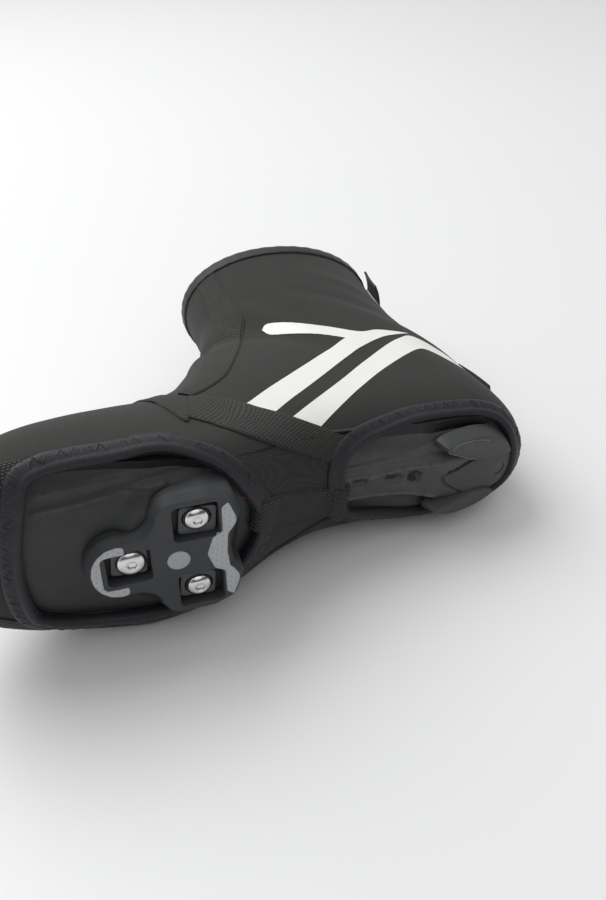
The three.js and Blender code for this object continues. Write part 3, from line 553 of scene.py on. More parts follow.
# %% Lugs and insole
lug = Finish("heel_lug_rubber")
x, y, z = lug.upright()
rubbed = (z.ramp(1.2, 0.1) * lug.noise(2.5, 4, 0.65)).ramp(0.42, 0.66)
lug_tone = lug.between(lug.noise(12, 3), (0.038, 0.040, 0.040, 1), (0.048, 0.050, 0.050, 1))
lug.feed("Base Color", lug.between(rubbed * 0.12, lug_tone, (0.19, 0.19, 0.185, 1)))
lug.feed("Roughness", lug.noise(5, 3) * 0.25 + 0.38)
lug.bump(lug.noise(0.6, 3), 0.04)

insole_felt = Finish("insole_felt", Roughness=0.9)
felt = insole_felt.noise(1.0, 3)
insole_felt.feed("Base Color", insole_felt.between(felt, (0.018, 0.019, 0.026, 1), (0.040, 0.042, 0.055, 1)))
insole_felt.bump(felt, 0.2)

# %% Cleat, pads and bolts
cleat = Finish("cleat_nylon")
spark = cleat.noise(0.45, 2)
cleat_tone = cleat.between(cleat.noise(16, 3), (0.030, 0.032, 0.035, 1), (0.040, 0.042, 0.045, 1))
cleat.feed("Base Color", cleat_tone)
cleat.feed("Roughness", cleat.noise(6, 3) * 0.15 + 0.47)
cleat.bump(spark, 0.05)

pad = Finish("pad_rubber", Roughness=0.6)
x, y, z = pad.upright()
DOT_PITCH = 3.1
dot_row = (y / (DOT_PITCH * 0.75)).whole()
dot_x = ((x / DOT_PITCH + dot_row * 0.5).fraction() - 0.5) * DOT_PITCH
dot_y = ((y / (DOT_PITCH * 0.75)).fraction() - 0.5) * (DOT_PITCH * 0.75)
dots = (dot_x * dot_x + dot_y * dot_y).root().ramp(0.34, 0.20)
pad_tone = pad.between(pad.noise(4, 4), (0.40, 0.41, 0.425, 1), (0.48, 0.49, 0.505, 1))
pad.feed("Base Color", pad.between(dots * 0.8, pad_tone, (0.085, 0.13, 0.2, 1)))
pad.bump(1 - dots + pad.noise(0.7), 0.12)

disc = Finish("disc_rubber", Roughness=0.55)
disc.feed("Base Color", disc.between(disc.noise(3, 3), (0.35, 0.36, 0.37, 1), (0.40, 0.41, 0.42, 1)))
disc.bump(disc.noise(0.6), 0.05)

steel = Finish("polished_steel", Metallic=1.0)
brushed = steel.noise(0.8, 3)
steel.feed("Base Color", steel.between(brushed, (0.66, 0.66, 0.67, 1), (0.80, 0.80, 0.80, 1)))
steel.feed("Roughness", brushed * 0.08 + 0.10)
steel.bump(brushed, 0.01)

black_metal = Finish("black_washer", Roughness=0.5, Metallic=0.3)
black_tone = black_metal.between(black_metal.noise(2), (0.008, 0.008, 0.009, 1), (0.018, 0.018, 0.02, 1))
black_metal.feed("Base Color", black_tone)
black_metal.bump(black_metal.noise(0.6), 0.03)

plate_metal = Finish("pocket_plate", Roughness=0.45)
plate_tone = plate_metal.between(plate_metal.noise(5), (0.055, 0.058, 0.062, 1), (0.075, 0.078, 0.082, 1))
plate_metal.feed("Base Color", plate_tone)
plate_metal.bump(plate_metal.noise(0.6), 0.03)
print("materials so far:", len(bpy.data.materials))

# %% [markdown]
# ## Making a piece
#
# A piece is a mesh from points and faces, laid on its side and given to the frame. The cloth map keeps
# the distances along and across a strip, in millimetres, for the weaves. Hard pieces keep their edges
# sharp by marking every edge that turns by more than a given angle.

# %% Piece helpers
def piece(name, points, faces, finish, replaces=(), cloth=None, sharp=None, materials=None):
    mesh = bpy.data.meshes.new(name)
    mesh.from_pydata([tuple(p) for p in laid(points)], [], [tuple(map(int, f)) for f in faces])
    mesh.validate()
    mesh.materials.append(finish.material)
    if materials is not None:
        more, slots = materials
        mesh.materials.append(more.material)
        mesh.polygons.foreach_set("material_index", np.asarray(slots, np.int32))
    if cloth is not None:
        layer = mesh.uv_layers.new(name="cloth")
        corners = np.zeros(len(mesh.loops), np.int32)
        mesh.loops.foreach_get("vertex_index", corners)
        layer.data.foreach_set("uv", np.asarray(cloth, np.float32)[corners].ravel())
    mesh.polygons.foreach_set("use_smooth", np.ones(len(mesh.polygons), bool))
    made = bpy.data.objects.new(name, mesh)
    bpy.context.scene.collection.objects.link(made)
    if sharp:
        keep_sharp(made, sharp)
    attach(made, "root")
    if replaces:
        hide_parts(*replaces)
    return made


def keep_sharp(made, degrees, weld=False):
    """Marks the edges that turn by more than the angle. weld first joins points that lie together."""
    shape = bmesh.new()
    shape.from_mesh(made.data)
    if weld:
        bmesh.ops.remove_doubles(shape, verts=shape.verts, dist=2e-6)
    bmesh.ops.recalc_face_normals(shape, faces=shape.faces)
    for edge in shape.edges:
        if len(edge.link_faces) == 2:
            edge.smooth = edge.calc_face_angle(0.0) < math.radians(degrees)
    shape.to_mesh(made.data)
    shape.free()


def grid_faces(rows, columns, closed_rows=False, closed_columns=False):
    """Quads of a grid whose point (r, c) is at r * columns + c."""
    r = np.arange(rows if closed_rows else rows - 1)
    c = np.arange(columns if closed_columns else columns - 1)
    r, c = np.meshgrid(r, c, indexing="ij")
    r2, c2 = (r + 1) % rows, (c + 1) % columns
    here, there = r * columns, r2 * columns
    return np.stack([here + c, here + c2, there + c2, there + c], -1).reshape(-1, 4)


def along_length(points):
    """Running length of a polyline."""
    steps = np.linalg.norm(np.diff(points, axis=0), axis=1)
    return np.concatenate([[0], np.cumsum(steps)])


def smooth_line(points, count, closed=False):
    """Evenly spaced points on the smooth curve through the given ones."""
    points = np.asarray(points, float)
    if closed:
        points = np.concatenate([points[-2:], points, points[:3]])
    else:
        points = np.concatenate([[2 * points[0] - points[1]], points, [2 * points[-1] - points[-2]]])
    fine = []
    last = len(points) - 3
    for i in range(1, last + 1):
        if closed and not 2 <= i < last:
            continue
        a, b, c, d = points[i - 1 : i + 3]
        t = np.linspace(0, 1, 24, endpoint=False)[:, None]
        fine.append(eased(a, b, c, d, t))
    fine = np.concatenate(fine + [fine[0][:1] if closed else points[last + 1 : last + 2]])
    length = along_length(fine)
    wanted = np.linspace(0, length[-1], count + 1)[:-1] if closed else np.linspace(0, length[-1], count)
    return np.stack([np.interp(wanted, length, fine[:, k]) for k in range(fine.shape[1])], -1)


# %% [markdown]
# ## The windows' outlines
#
# Seen from below, each window is one smooth closed line. The front one frees the tread and the cleat,
# the rear one the heel. The tables are shares of the half width and the length of the foot, close to
# those of the construction model, though the front one reaches a little further to toe and outer side.

# %% Window outlines
FOREFOOT_WINDOW = np.array([
    (-0.808, 0.850), (-0.880, 0.830), (-0.915, 0.787), (-0.923, 0.732), (-0.918, 0.677), (-0.865, 0.630),
    (-0.745, 0.588), (-0.598, 0.560), (-0.358, 0.530), (-0.150, 0.511), (0.077, 0.505), (0.240, 0.513),
    (0.400, 0.529), (0.560, 0.547), (0.700, 0.580), (0.780, 0.621), (0.790, 0.680), (0.785, 0.740),
    (0.755, 0.798), (0.680, 0.837), (0.540, 0.857), (0.165, 0.870), (-0.256, 0.869), (-0.617, 0.859),
]) * (HALF_BALL, FOOT_LENGTH)
HEEL_WINDOW = np.array([
    (0.20, 0.338), (-0.07, 0.342), (-0.310, 0.344), (-0.503, 0.332), (-0.616, 0.304), (-0.705, 0.258),
    (-0.776, 0.214), (-0.795, 0.168), (-0.786, 0.123), (-0.746, 0.083), (-0.643, 0.049), (-0.454, 0.031),
    (-0.20, 0.020), (0.03, 0.016), (0.25, 0.018), (0.46, 0.032), (0.61, 0.052), (0.70, 0.085),
    (0.72, 0.125), (0.70, 0.16), (0.665, 0.198), (0.58, 0.257), (0.50, 0.305), (0.38, 0.328),
]) * (HALF_WAIST, FOOT_LENGTH)
windows = {
    "forefoot": smooth_line(FOREFOOT_WINDOW, 260, closed=True),
    "heel": smooth_line(HEEL_WINDOW, 220, closed=True),
}
print("window lengths:", [round(float(along_length(w)[-1])) for w in windows.values()], "mm")


def in_outline(xy, outline):
    """Whether each point lies inside a closed outline."""
    x, y = xy[..., 0, None], xy[..., 1, None]
    a, b = outline, np.roll(outline, -1, axis=0)
    crosses = (a[:, 1] > y) != (b[:, 1] > y)
    at = (b[:, 0] - a[:, 0]) * (y - a[:, 1]) / np.where(b[:, 1] == a[:, 1], 1e-9, b[:, 1] - a[:, 1]) + a[:, 0]
    return (crosses & (x < at)).sum(-1) % 2 == 1


def grown(outline, distance):
    """The outline moved outwards. It runs the same way round as it was given."""
    tangent = onwards(outline)
    out = np.stack([tangent[:, 1], -tangent[:, 0]], -1)
    area = (outline[:, 0] * np.roll(outline[:, 1], -1) - np.roll(outline[:, 0], -1) * outline[:, 1]).sum()
    return outline + out * distance * np.sign(area)


# %% [markdown]
# ## The upper
#
# The upper is one wall of 3 mm neoprene. Its outer face is the creased form, its inner face the same
# form 3 mm further in. A fine grid keeps the creases soft. Faces inside the windows are left out, a
# little wider than the opening, because the bindings fold over that edge and hide it.

# %% Upper
RINGS, ROUND = 236, 150
ring_u = np.concatenate([np.array([0.05, 0.12, 0.22, 0.35]), np.linspace(0.5, COLLAR, RINGS - 4)])
round_v = np.arange(ROUND) / ROUND
uu, vv = np.meshgrid(ring_u, round_v, indexing="ij")
outer_face = surface(uu, vv)
inner_face = form(uu, vv) - form_normal(uu, vv) * np.minimum(WALL, 0.6 + uu * 6.0)[..., None]
quads = grid_faces(RINGS, ROUND, closed_columns=True)
centres = form(uu, vv).reshape(-1, 3)[quads].mean(1)
open_under = np.zeros(len(quads), bool)
WINDOW_TOPS = {"forefoot": 30.0, "heel": 23.0}
HIDDEN_EDGE = 1.5
for name, top in WINDOW_TOPS.items():
    open_under |= in_outline(centres[:, :2], grown(windows[name], HIDDEN_EDGE)) & (centres[:, 2] < top)
wall = quads[~open_under]
count = RINGS * ROUND
edges = {}
for a, b in np.concatenate([wall[:, [i, (i + 1) % 4]] for i in range(4)]):
    key = (min(a, b), max(a, b))
    edges[key] = None if key in edges else (a, b)
rims = [(b, a, a + count, b + count) for edge in edges.values() if edge for a, b in [edge]]
tip_rims = [f for f in rims if max(f[0], f[1]) >= ROUND]
tip = [form(0, 0) + (0, 0.1, 0), form(0, 0) - (0, WALL, 0)]
tip_faces = [(2 * count, (k + 1) % ROUND, k) for k in range(ROUND)]
tip_faces += [(2 * count + 1, count + k, count + (k + 1) % ROUND) for k in range(ROUND)]
upper_points = np.concatenate([outer_face.reshape(-1, 3), inner_face.reshape(-1, 3), tip])
upper_faces = [tuple(f[::-1]) for f in wall] + [tuple(f + count) for f in wall]
upper_slots = [0] * len(wall) + [1] * len(wall) + [0] * len(tip_rims) + [0] * ROUND + [1] * ROUND
upper = piece(
    "upper_skin", upper_points, upper_faces + tip_rims + tip_faces, neoprene, ["upper"],
    materials=(lining, upper_slots),
)
print("upper faces:", len(upper.data.polygons))

# %% [markdown]
# ## Bindings round the windows
#
# An elastic binding is folded over the cut edge. Seen across, it is a fat rolled lip inside the window
# and a flat band outside it. The profile below lists how far out from the edge and how high off the
# skin it runs. It is swept round the window by walking along the skin, so its width stays true where
# the side curves up. Small gathers wave along it, most where it turns the inner corner of the toe.

# %% Bindings
BINDING_PROFILE = np.array([
    # out   height
    (-0.1, -3.0), (-0.7, -3.1), (-1.15, -2.5), (-1.4, -1.3), (-1.4, 0.1), (-1.15, 1.15), (-0.5, 1.85),
    (0.4, 2.2), (1.3, 2.2), (2.1, 1.9), (2.7, 1.62), (3.4, 1.7), (4.8, 1.75), (6.2, 1.68), (7.3, 1.45),
    (7.95, 1.05), (8.2, 0.45), (8.2, -0.2),
])


def ways_out(outline):
    """u, v of the outline on the form, and the unit way out of the window along the skin."""
    u, v = underneath(outline)
    at = form(u, v)
    out = np.cross(onwards(at), form_normal(u, v))
    out *= np.sign(((at - at.mean(0)) * out).sum(1))[:, None]
    return u, v, unit(out)


def strip_rows(outline, distances):
    """u and v of lines that run beside the outline at the given distances."""
    u, v, out = ways_out(outline)
    rows = []
    for distance in distances:
        if distance <= 3:
            rows.append(walk(u, v, out * distance))
        else:
            half = walk(u, v, out * distance / 2)
            further = np.cross(onwards(form(*half)), form_normal(*half))
            further = unit(further * np.sign((further * out).sum(1))[:, None])
            rows.append(walk(*half, further * distance / 2))
    return rows


def gathers(length, place, strength):
    """Small waves along a binding; strength is larger where the elastic turns a corner."""
    waves = np.sin(length / 2.1) + 0.7 * np.sin(length / 3.7 + 1.3) + 0.5 * np.sin(length / 1.3 + 2.0)
    return waves * strength * place


bands = {}
for name, outline in windows.items():
    length = along_length(np.concatenate([outline, outline[:1]]))[:-1]
    corner = np.linalg.norm(outline - np.array([-43.0, 247.0]), axis=1)
    fuss = 0.07 + 0.30 * np.exp(-((corner / 13) ** 2)) * (name == "forefoot")
    rows = strip_rows(outline, BINDING_PROFILE[:, 0])
    points = []
    for (u, v), (distance, height) in zip(rows, BINDING_PROFILE):
        share = 0.3 if height < 0 else 1.0
        points.append(surface(u, v, height + gathers(length + distance * 0.6, share, fuss)))
    points = np.array(points)
    cloth = np.stack([np.tile(length, len(rows)), np.repeat(BINDING_PROFILE[:, 0], len(length))], -1)
    faces = grid_faces(len(rows), len(length), closed_columns=True)
    piece(
        f"{name}_binding_band", points.reshape(-1, 3), faces, binding, [f"{name}_window_binding"],
        cloth=cloth,
    )
    bands[name] = (outline, length)
    print(name, "binding", len(faces), "faces")

# %% [markdown]
# ## Stitches
#
# A zigzag of thread holds each binding down. A thread is a thin tube along a line of points. It sinks a
# little into the cloth at each needle hole, so each stitch reads as a small soft bar. ZIGZAG says how
# far out from the window's edge its two rows of holes lie.

# %% Threads
def tubes(lines, radius, sides=6):
    """One mesh of tubes along open lines of points."""
    all_points, all_faces, start = [], [], 0
    turn = np.arange(sides) * 2 * math.pi / sides
    for line in lines:
        line = np.asarray(line)
        ahead = unit(np.gradient(line, axis=0))
        side = unit(np.cross(ahead, np.array([0.31, 0.17, 0.93])))
        up = np.cross(side, ahead)
        ring = line[:, None] + radius * (
            side[:, None] * np.cos(turn)[None, :, None] + up[:, None] * np.sin(turn)[None, :, None]
        )
        all_points.append(ring.reshape(-1, 3))
        faces = grid_faces(len(line), sides, closed_columns=True) + start
        all_faces.extend(map(tuple, faces))
        start += ring.shape[0] * sides
    return np.concatenate(all_points), all_faces


ZIGZAG = (3.3, 7.0)
PITCH = 2.5
for name, (outline, length) in bands.items():
    total = length[-1] + np.linalg.norm(outline[0] - outline[-1])
    stitches = int(total / PITCH) // 2 * 2
    knots = np.linspace(0, total, stitches, endpoint=False)
    closed = np.concatenate([outline, outline[:1]])
    running = np.append(length, total)
    knot_line = np.stack([np.interp(knots, running, closed[:, k]) for k in (0, 1)], -1)
    inner_row, outer_row = strip_rows(knot_line, ZIGZAG)
    ends = np.where((np.arange(stitches) % 2 == 0)[:, None], np.stack(inner_row, -1), np.stack(outer_row, -1))
    lines = []
    for k in range(stitches):
        a, b = ends[k], ends[(k + 1) % stitches]
        if abs(a[1] - b[1]) > 0.5:
            b = b + (0, round(a[1] - b[1]))
        t = np.linspace(0.04, 0.96, 5)[:, None]
        uv = a + (b - a) * t
        lift = 1.60 + 0.16 * np.sin(np.pi * t[:, 0])
        lines.append(surface(uv[:, 0], uv[:, 1], lift))
    points, faces = tubes(lines, 0.2)
    piece(f"{name}_zigzag", points, faces, thread)
    print(name, "stitches", stitches)

# %% [markdown]
# ## Panels of coarse weave
#
# The reinforcements are strips between two drawn edges. Each edge is a short list of places on a side
# view or a view from below, looked up on the skin. The strip is laid between them and lifted by its
# thickness, with a rounded edge, as flatlocked cloth has.

# %% Strips between two edges
STRIP_COLUMNS = 12


def laid_strip(name, edge_a, edge_b, thickness, replaces=(), sunk=-0.4):
    """A woven strip between two edges, each an array of u and v of the same length."""
    a, b = np.asarray(edge_a), np.asarray(edge_b)
    flat_part = np.linspace(0.08, 0.92, STRIP_COLUMNS)
    share = np.concatenate([[0, 0, 0.012, 0.035], flat_part, [0.965, 0.988, 1, 1]])
    rounded = [sunk, 0.55 * thickness, 0.9 * thickness]
    height = np.concatenate([rounded, np.full(STRIP_COLUMNS + 2, thickness), rounded[::-1]])
    uv = a[None] + (b - a)[None] * share[:, None, None]
    points = surface(uv[..., 0], uv[..., 1], height[:, None] * np.ones(len(a)))
    middle = points[len(share) // 2]
    run = along_length(middle)
    width = np.linalg.norm(points[-3] - points[2], axis=1).mean()
    cloth = np.stack([np.tile(run, len(share)), np.repeat(share * width, len(a))], -1)
    faces = grid_faces(len(share), len(a))[:, ::-1]
    return piece(name, points.reshape(-1, 3), faces, weave, replaces, cloth=cloth)


def side_edge(table, count, inner):
    u, v = beside(smooth_line(np.array(table, float), count), inner)
    return np.stack([u, v], -1)


# %% [markdown]
# ## Band, ankle panels and shaft strips
#
# The band starts at the arch on both sides and crosses the instep. The panels run up from it beside
# the ankle, where the cloth has to stretch most, and a thinner strip of the same weave goes on up the
# shaft to the collar.

# %% Band over the instep
BAND_TOP = [
    (97.0, 22.5), (106.2, 27.5), (116.7, 34.0), (129.9, 44.9), (142.6, 56.5), (159.0, 65.0), (166.0, 66.4),
]
BAND_LOW = [
    (101.0, 17.6), (112.0, 19.2), (128.2, 22.3), (147.2, 26.2), (157.0, 31.9), (166.3, 39.1), (175.3, 45.6),
]
OVER_TOP, OVER_LOW = (8.05, 0.5), (7.55, 0.5)
band_edges = []
for table, top in ((BAND_TOP, OVER_TOP), (BAND_LOW, OVER_LOW)):
    inner_half = side_edge(table, 40, True)
    outer_half = side_edge(table, 40, False)[::-1]
    nodes = np.concatenate([inner_half[::3], [top], outer_half[::3]])
    band_edges.append(smooth_line(nodes, 150))
instep_band = laid_strip("instep_band_weave", *band_edges, 1.1, ["instep_band"])
print("instep band", len(instep_band.data.polygons), "faces")

# %% Panels beside the ankle
PANEL_REAR = [
    (97.5, 136.0), (104.0, 123.0), (111.2, 110.9), (122.7, 94.5), (132.2, 83.4), (145.4, 73.9), (158.7, 66.4),
]
PANEL_FRONT = [
    (111.0, 144.0), (119.5, 128.5), (128.0, 114.0), (135.4, 101.1), (147.0, 86.4), (154.5, 79.5),
    (162.0, 72.9),
]
SHAFT_REAR = [(82.6, 203), (85.1, 193), (87.9, 168.5), (90.8, 147.0), (97.2, 137.0)]
SHAFT_FRONT = [(92.8, 203), (95.4, 193), (100.4, 170.0), (104.4, 151.0), (110.6, 144.8)]
for side_name, inner in (("inner", True), ("outer", False)):
    rear = side_edge(PANEL_REAR, 60, inner)
    front = side_edge(PANEL_FRONT, 60, inner)
    laid_strip(f"instep_panel_{side_name}_weave", rear, front, 0.9, [f"instep_panel_{side_name}"])
    rear = side_edge(SHAFT_REAR, 60, inner)
    front = side_edge(SHAFT_FRONT, 60, inner)
    laid_strip(f"shaft_strip_{side_name}_weave", rear, front, 0.35, sunk=-0.2)
print("ankle panels and shaft strips laid on both sides")

# %% [markdown]
# ## Strip round the toe, and the bridge under the arch
#
# The toe strip wraps a blunt end, where looking up drawn places gets awkward. So it is thrown onto the
# skin instead: rays run in from all round the toe, and each takes the point that it meets. The bridge
# under the arch joins the two windows. Its ends fold over the bindings and are sewn down, so its
# section rises where the bindings run below it.

# %% Strip round the toe
skin_tree = BVHTree.FromPolygons([Vector(p) for p in outer_face.reshape(-1, 3)], quads.tolist())


def thrown(tree, origin, way):
    place, normal, *_ = tree.ray_cast(Vector(origin), Vector(way))
    return np.array(place), np.array(normal)


GUARD_Y = [247.6, 263.7, 276.9, 285.7, 293.0]
GUARD_LOW = [24.8, 27.3, 31.2, 35.7, 36.4]
GUARD_TOP = [31.5, 35.4, 40.8, 46.5, 47.3]
guard_share = np.array([0, 0, 0.05, 0.15, 0.35, 0.6, 0.8, 0.93, 1, 1])
guard_lift = np.array([-0.4, 0.7, 1.1, 1.25, 1.25, 1.25, 1.25, 1.1, 0.7, -0.4])
bearings = np.radians(np.linspace(-63.5, 67.5, 110))
rows = np.zeros((len(guard_share), len(bearings), 3))
for k, bearing in enumerate(bearings):
    way = np.array([math.sin(bearing), math.cos(bearing), 0])
    for r, (share, lift) in enumerate(zip(guard_share, guard_lift)):
        y = 285.0
        for _ in range(4):
            z = np.interp(y, GUARD_Y, GUARD_LOW) * (1 - share) + np.interp(y, GUARD_Y, GUARD_TOP) * share
            place, normal = thrown(skin_tree, np.array([-4, 225, z]) + way * 130, -way)
            y = place[1]
        outward = normal if normal @ way > 0 else -normal
        rows[r, k] = place + outward * lift
run = along_length(rows[5])
cloth = np.stack([np.tile(run, len(rows)), np.repeat(guard_share * 9, len(run))], -1)
toe_strip = piece(
    "toe_strip_weave", rows.reshape(-1, 3), grid_faces(len(rows), len(run)), weave, ["toe_guard"],
    cloth=cloth,
)
print("toe strip", len(toe_strip.data.polygons), "faces")

# %% Bridge under the arch
BRIDGE = np.array([
    # y     height
    (96.4, -2.6), (96.2, -0.6), (96.5, 1.4), (97.4, 2.45), (99.2, 2.8), (101.8, 2.65), (104.3, 2.5),
    (105.4, 2.25), (106.3, 1.6), (107.5, 1.2), (112, 1.2), (117, 1.2), (122, 1.2), (127, 1.2), (132, 1.2),
    (136.5, 1.2), (138.4, 1.25), (139.6, 1.6), (140.4, 2.25), (141.6, 2.5), (144.4, 2.7), (147.2, 2.8),
    (149.4, 2.45), (150.5, 1.4), (151.0, -0.6), (150.9, -2.6),
])
BRIDGE_WIDTH, BRIDGE_SLANT = 17.0, 4.05
bridge_across = np.array([-8.6, -8.6, -8.3, -7.6, -5, -2.5, 0, 2.5, 5, 7.6, 8.3, 8.6, 8.6])
bridge_edge = np.array([-2.9, -0.9, -0.25, 0, 0, 0, 0, 0, 0, 0, -0.25, -0.9, -2.9])
by, bx = np.meshgrid(BRIDGE[:, 0], bridge_across, indexing="ij")
lean = BRIDGE_WIDTH * (0.451 - by / FOOT_LENGTH) * BRIDGE_SLANT
flare = 1 + 0.10 * np.exp(-((by - 98) / 7) ** 2)
drawn = np.stack([bx * flare + lean, by + bx * 0.05], -1)
bu, bv = underneath(drawn.reshape(-1, 2))
heights = BRIDGE[:, 1, None] + bridge_edge[None] * np.clip(1 + (BRIDGE[:, 1, None] - 1.2) * 0.3, 0.5, 1.6)
bridge_points = surface(bu, bv, heights.reshape(-1))
cloth = np.stack([np.repeat(BRIDGE[:, 0], len(bridge_across)), np.tile(bridge_across, len(BRIDGE))], -1)
bridge_faces = grid_faces(len(BRIDGE), len(bridge_across))[:, ::-1]
piece("arch_bridge_weave", bridge_points, bridge_faces, weave, ["arch_bridge"], cloth=cloth)
print("bridge", len(bridge_faces), "faces")

# %% [markdown]
# ## Collar hem, closing strap, back strip and tab
#
# The collar is hemmed with a folded tape. A hook-and-loop strap closes the shaft round the back, and
# its free end has curled away from the inner side. A pale strip runs up the back seam below it, with a
# small folded tab at its foot.

# %% Collar hem
HEM_PROFILE = np.array([
    # drop  height
    (7.0, -0.2), (7.0, 0.7), (6.6, 1.05), (5.0, 1.2), (2.5, 1.25), (0.5, 1.25), (-0.7, 1.1), (-1.2, 0.4),
    (-1.3, -1.2), (-1.0, -2.6), (0.2, -3.2), (1.2, -3.2),
])
hem_v = np.arange(200) / 200
rim_step = np.linalg.norm(form(COLLAR, hem_v) - form(COLLAR - 1, hem_v), axis=1)
hem_points = []
for drop, height in HEM_PROFILE:
    flutter = 0.12 * np.sin(hem_v * 2 * math.pi * 43) * (height > 0)
    hem_points.append(surface(COLLAR - drop / rim_step, hem_v, height + flutter))
hem_points = np.array(hem_points)
hem_run = along_length(hem_points[4])
cloth = np.stack([np.tile(hem_run, len(HEM_PROFILE)), np.repeat(HEM_PROFILE[:, 0], len(hem_v))], -1)
hem_faces = grid_faces(len(HEM_PROFILE), len(hem_v), closed_columns=True)
hem_points = hem_points.reshape(-1, 3)
piece("collar_hem_tape", hem_points, hem_faces, binding, ["collar_hem"], cloth=cloth)
print("hem", len(hem_faces), "faces")


# %% Tapes laid on the skin
def laid_tape(name, path, lifts, width, thickness, finish, replaces, curl=0.0):
    """A flat tape along u, v places: its middle line is lifted, and curl bends its two long edges up."""
    us, vs = np.array(path).T
    middle = surface(us, vs, np.asarray(lifts))
    normal = form_normal(us, vs)
    ahead = unit(np.gradient(middle, axis=0))
    up = unit(normal - ahead * (normal * ahead).sum(1, keepdims=True))
    side = np.cross(ahead, up)
    half, thick = width / 2, thickness
    corners = [(-half, 0.2), (-half + 0.2, 0)] + [(half * s, 0) for s in np.linspace(-0.9, 0.9, 10)]
    corners += [(half - 0.2, 0), (half, 0.2), (half, thick - 0.3), (half - 0.3, thick)]
    corners += [(half * s, thick) for s in np.linspace(0.9, -0.9, 10)]
    corners += [(-half + 0.3, thick), (-half, thick - 0.3)]
    ring = np.array(corners)
    bend = curl * (ring[:, 0] / half) ** 2
    lifted = (ring[:, 1] + bend)[None, :, None]
    points = middle[:, None] + side[:, None] * ring[None, :, :1] + up[:, None] * lifted
    faces = [tuple(f) for f in grid_faces(len(us), len(ring), closed_columns=True)]
    last = (len(us) - 1) * len(ring)
    for start in (0, last):
        for k in range(len(ring) // 2 - 1):
            a, b = start + k, start + k + 1
            c, d = start + len(ring) - 2 - k, start + len(ring) - 1 - k
            if b < c:
                faces.append((a, b, c, d) if start == 0 else (d, c, b, a))
    run = along_length(middle)
    cloth = np.stack([np.repeat(run, len(ring)), np.tile(ring[:, 0], len(us))], -1)
    return piece(name, points.reshape(-1, 3), faces, finish, replaces, cloth=cloth, sharp=50)


STRAP_U = COLLAR - 0.47
t = np.linspace(0, 1, 70)
strap_lift = 2.1 + 16 * np.maximum(0, t - 0.6) ** 2 + 0.12 * np.sin(t * 21)
strap_path = list(zip(np.full(70, STRAP_U), 0.20 - 0.275 * t))
laid_tape("closing_strap_tape", strap_path, strap_lift, 22.0, 1.5, tape,
          ["closing_strap"], curl=0.5)
strip_u = np.linspace(COLLAR - 4.05, COLLAR - 0.36, 80)
laid_tape("back_strip_tape", list(zip(strip_u, np.full(80, -0.022))), np.full(80, 0.1), 14.6, 1.1, reflective,
          ["back_strip"])
t = np.linspace(0, 1, 24)
tab_lift = 0.6 + 1.5 * np.sin(math.pi * t * 0.62)
laid_tape("heel_tab_tape", list(zip(COLLAR - 4.2 - 0.96 * t, np.full(24, -0.045))), tab_lift, 11.8, 1.5, tape,
          ["heel_pull_tab"], curl=0.2)
print("tapes laid")

# %% [markdown]
# ## Pale stripes
#
# Two broad pale stripes are printed on the inner side and sweep up from the arch. The upper one turns
# forward at its rear end in a narrower bar, and the lower one turns down round the heel. Each is a film
# as thin as a coat of paint. Its sides are drawn as smooth lines on the side view and meet in sharp
# corners. The outline is filled with small triangles, and each corner is looked up on the skin.

# %% Filled outlines
def filled(outline, step, holes=()):
    """Points and triangles that fill an outline; holes are left open."""
    low, high = outline.min(0), outline.max(0)
    gx, gy = np.meshgrid(np.arange(low[0], high[0], step), np.arange(low[1], high[1], step), indexing="ij")
    inner = np.stack([gx + (np.arange(gx.shape[1]) % 2)[None] * step / 2, gy], -1).reshape(-1, 2)
    rings = [np.asarray(outline)] + [np.asarray(h) for h in holes]
    wanted = in_outline(inner, rings[0])
    for ring in rings:
        wanted &= (np.linalg.norm(inner[:, None] - ring[None], axis=-1).min(1) > step * 0.45)
    for hole in rings[1:]:
        wanted &= ~in_outline(inner, hole)
    points, edges, start = [Vector(p) for p in inner[wanted]], [], int(wanted.sum())
    for ring in rings:
        points += [Vector(p) for p in ring]
        edges += [(start + k, start + (k + 1) % len(ring)) for k in range(len(ring))]
        start += len(ring)
    places, _, triangles, *_ = geometry.delaunay_2d_cdt(points, edges, [], 0, 1e-6)
    places = np.array([tuple(p) for p in places])
    triangles = np.array([t for t in triangles if len(t) == 3])
    centre = places[triangles].mean(1)
    inside = in_outline(centre, rings[0])
    for hole in rings[1:]:
        inside &= ~in_outline(centre, hole)
    return places, triangles[inside]


UPPER_STRIPE = [
    [(88.0, 128.6), (85.2, 130.5), (81.9, 128.9), (73.0, 120.5), (59.5, 107.5), (46.2, 94.8), (36.2, 93.1),
     (27.2, 89.8), (17.9, 86.5)],
    [(17.9, 86.5), (25.4, 86.0), (38.2, 84.6), (55.3, 79.4), (73.6, 70.2), (99.2, 56.4), (128.0, 41.0)],
    [(128.0, 41.0), (139.2, 51.0)],
    [(139.2, 51.0), (113.6, 64.2), (87.0, 77.6), (56.3, 92.0)],
    [(56.3, 92.0), (67.4, 102.7), (79.1, 113.6), (86.6, 121.6), (88.0, 128.6)],
]
LOWER_STRIPE = [
    [(121.9, 35.4), (100.4, 45.8), (81.5, 55.2), (60.8, 66.1), (43.9, 74.6), (28.5, 81.3), (19.7, 84.1),
     (14.0, 79.6), (9.2, 72.4), (5.6, 66.8), (4.0, 61.8), (4.4, 55.0), (6.2, 49.4)],
    [(6.2, 49.4), (11.0, 56.4), (16.0, 64.4), (19.6, 68.0), (24.0, 68.2), (34.0, 64.6), (45.0, 60.3),
     (60.5, 53.4), (76.7, 45.3), (92.4, 37.0), (110.5, 27.6)],
    [(110.5, 27.6), (121.9, 35.4)],
]
PRINT_LIFT = 0.14
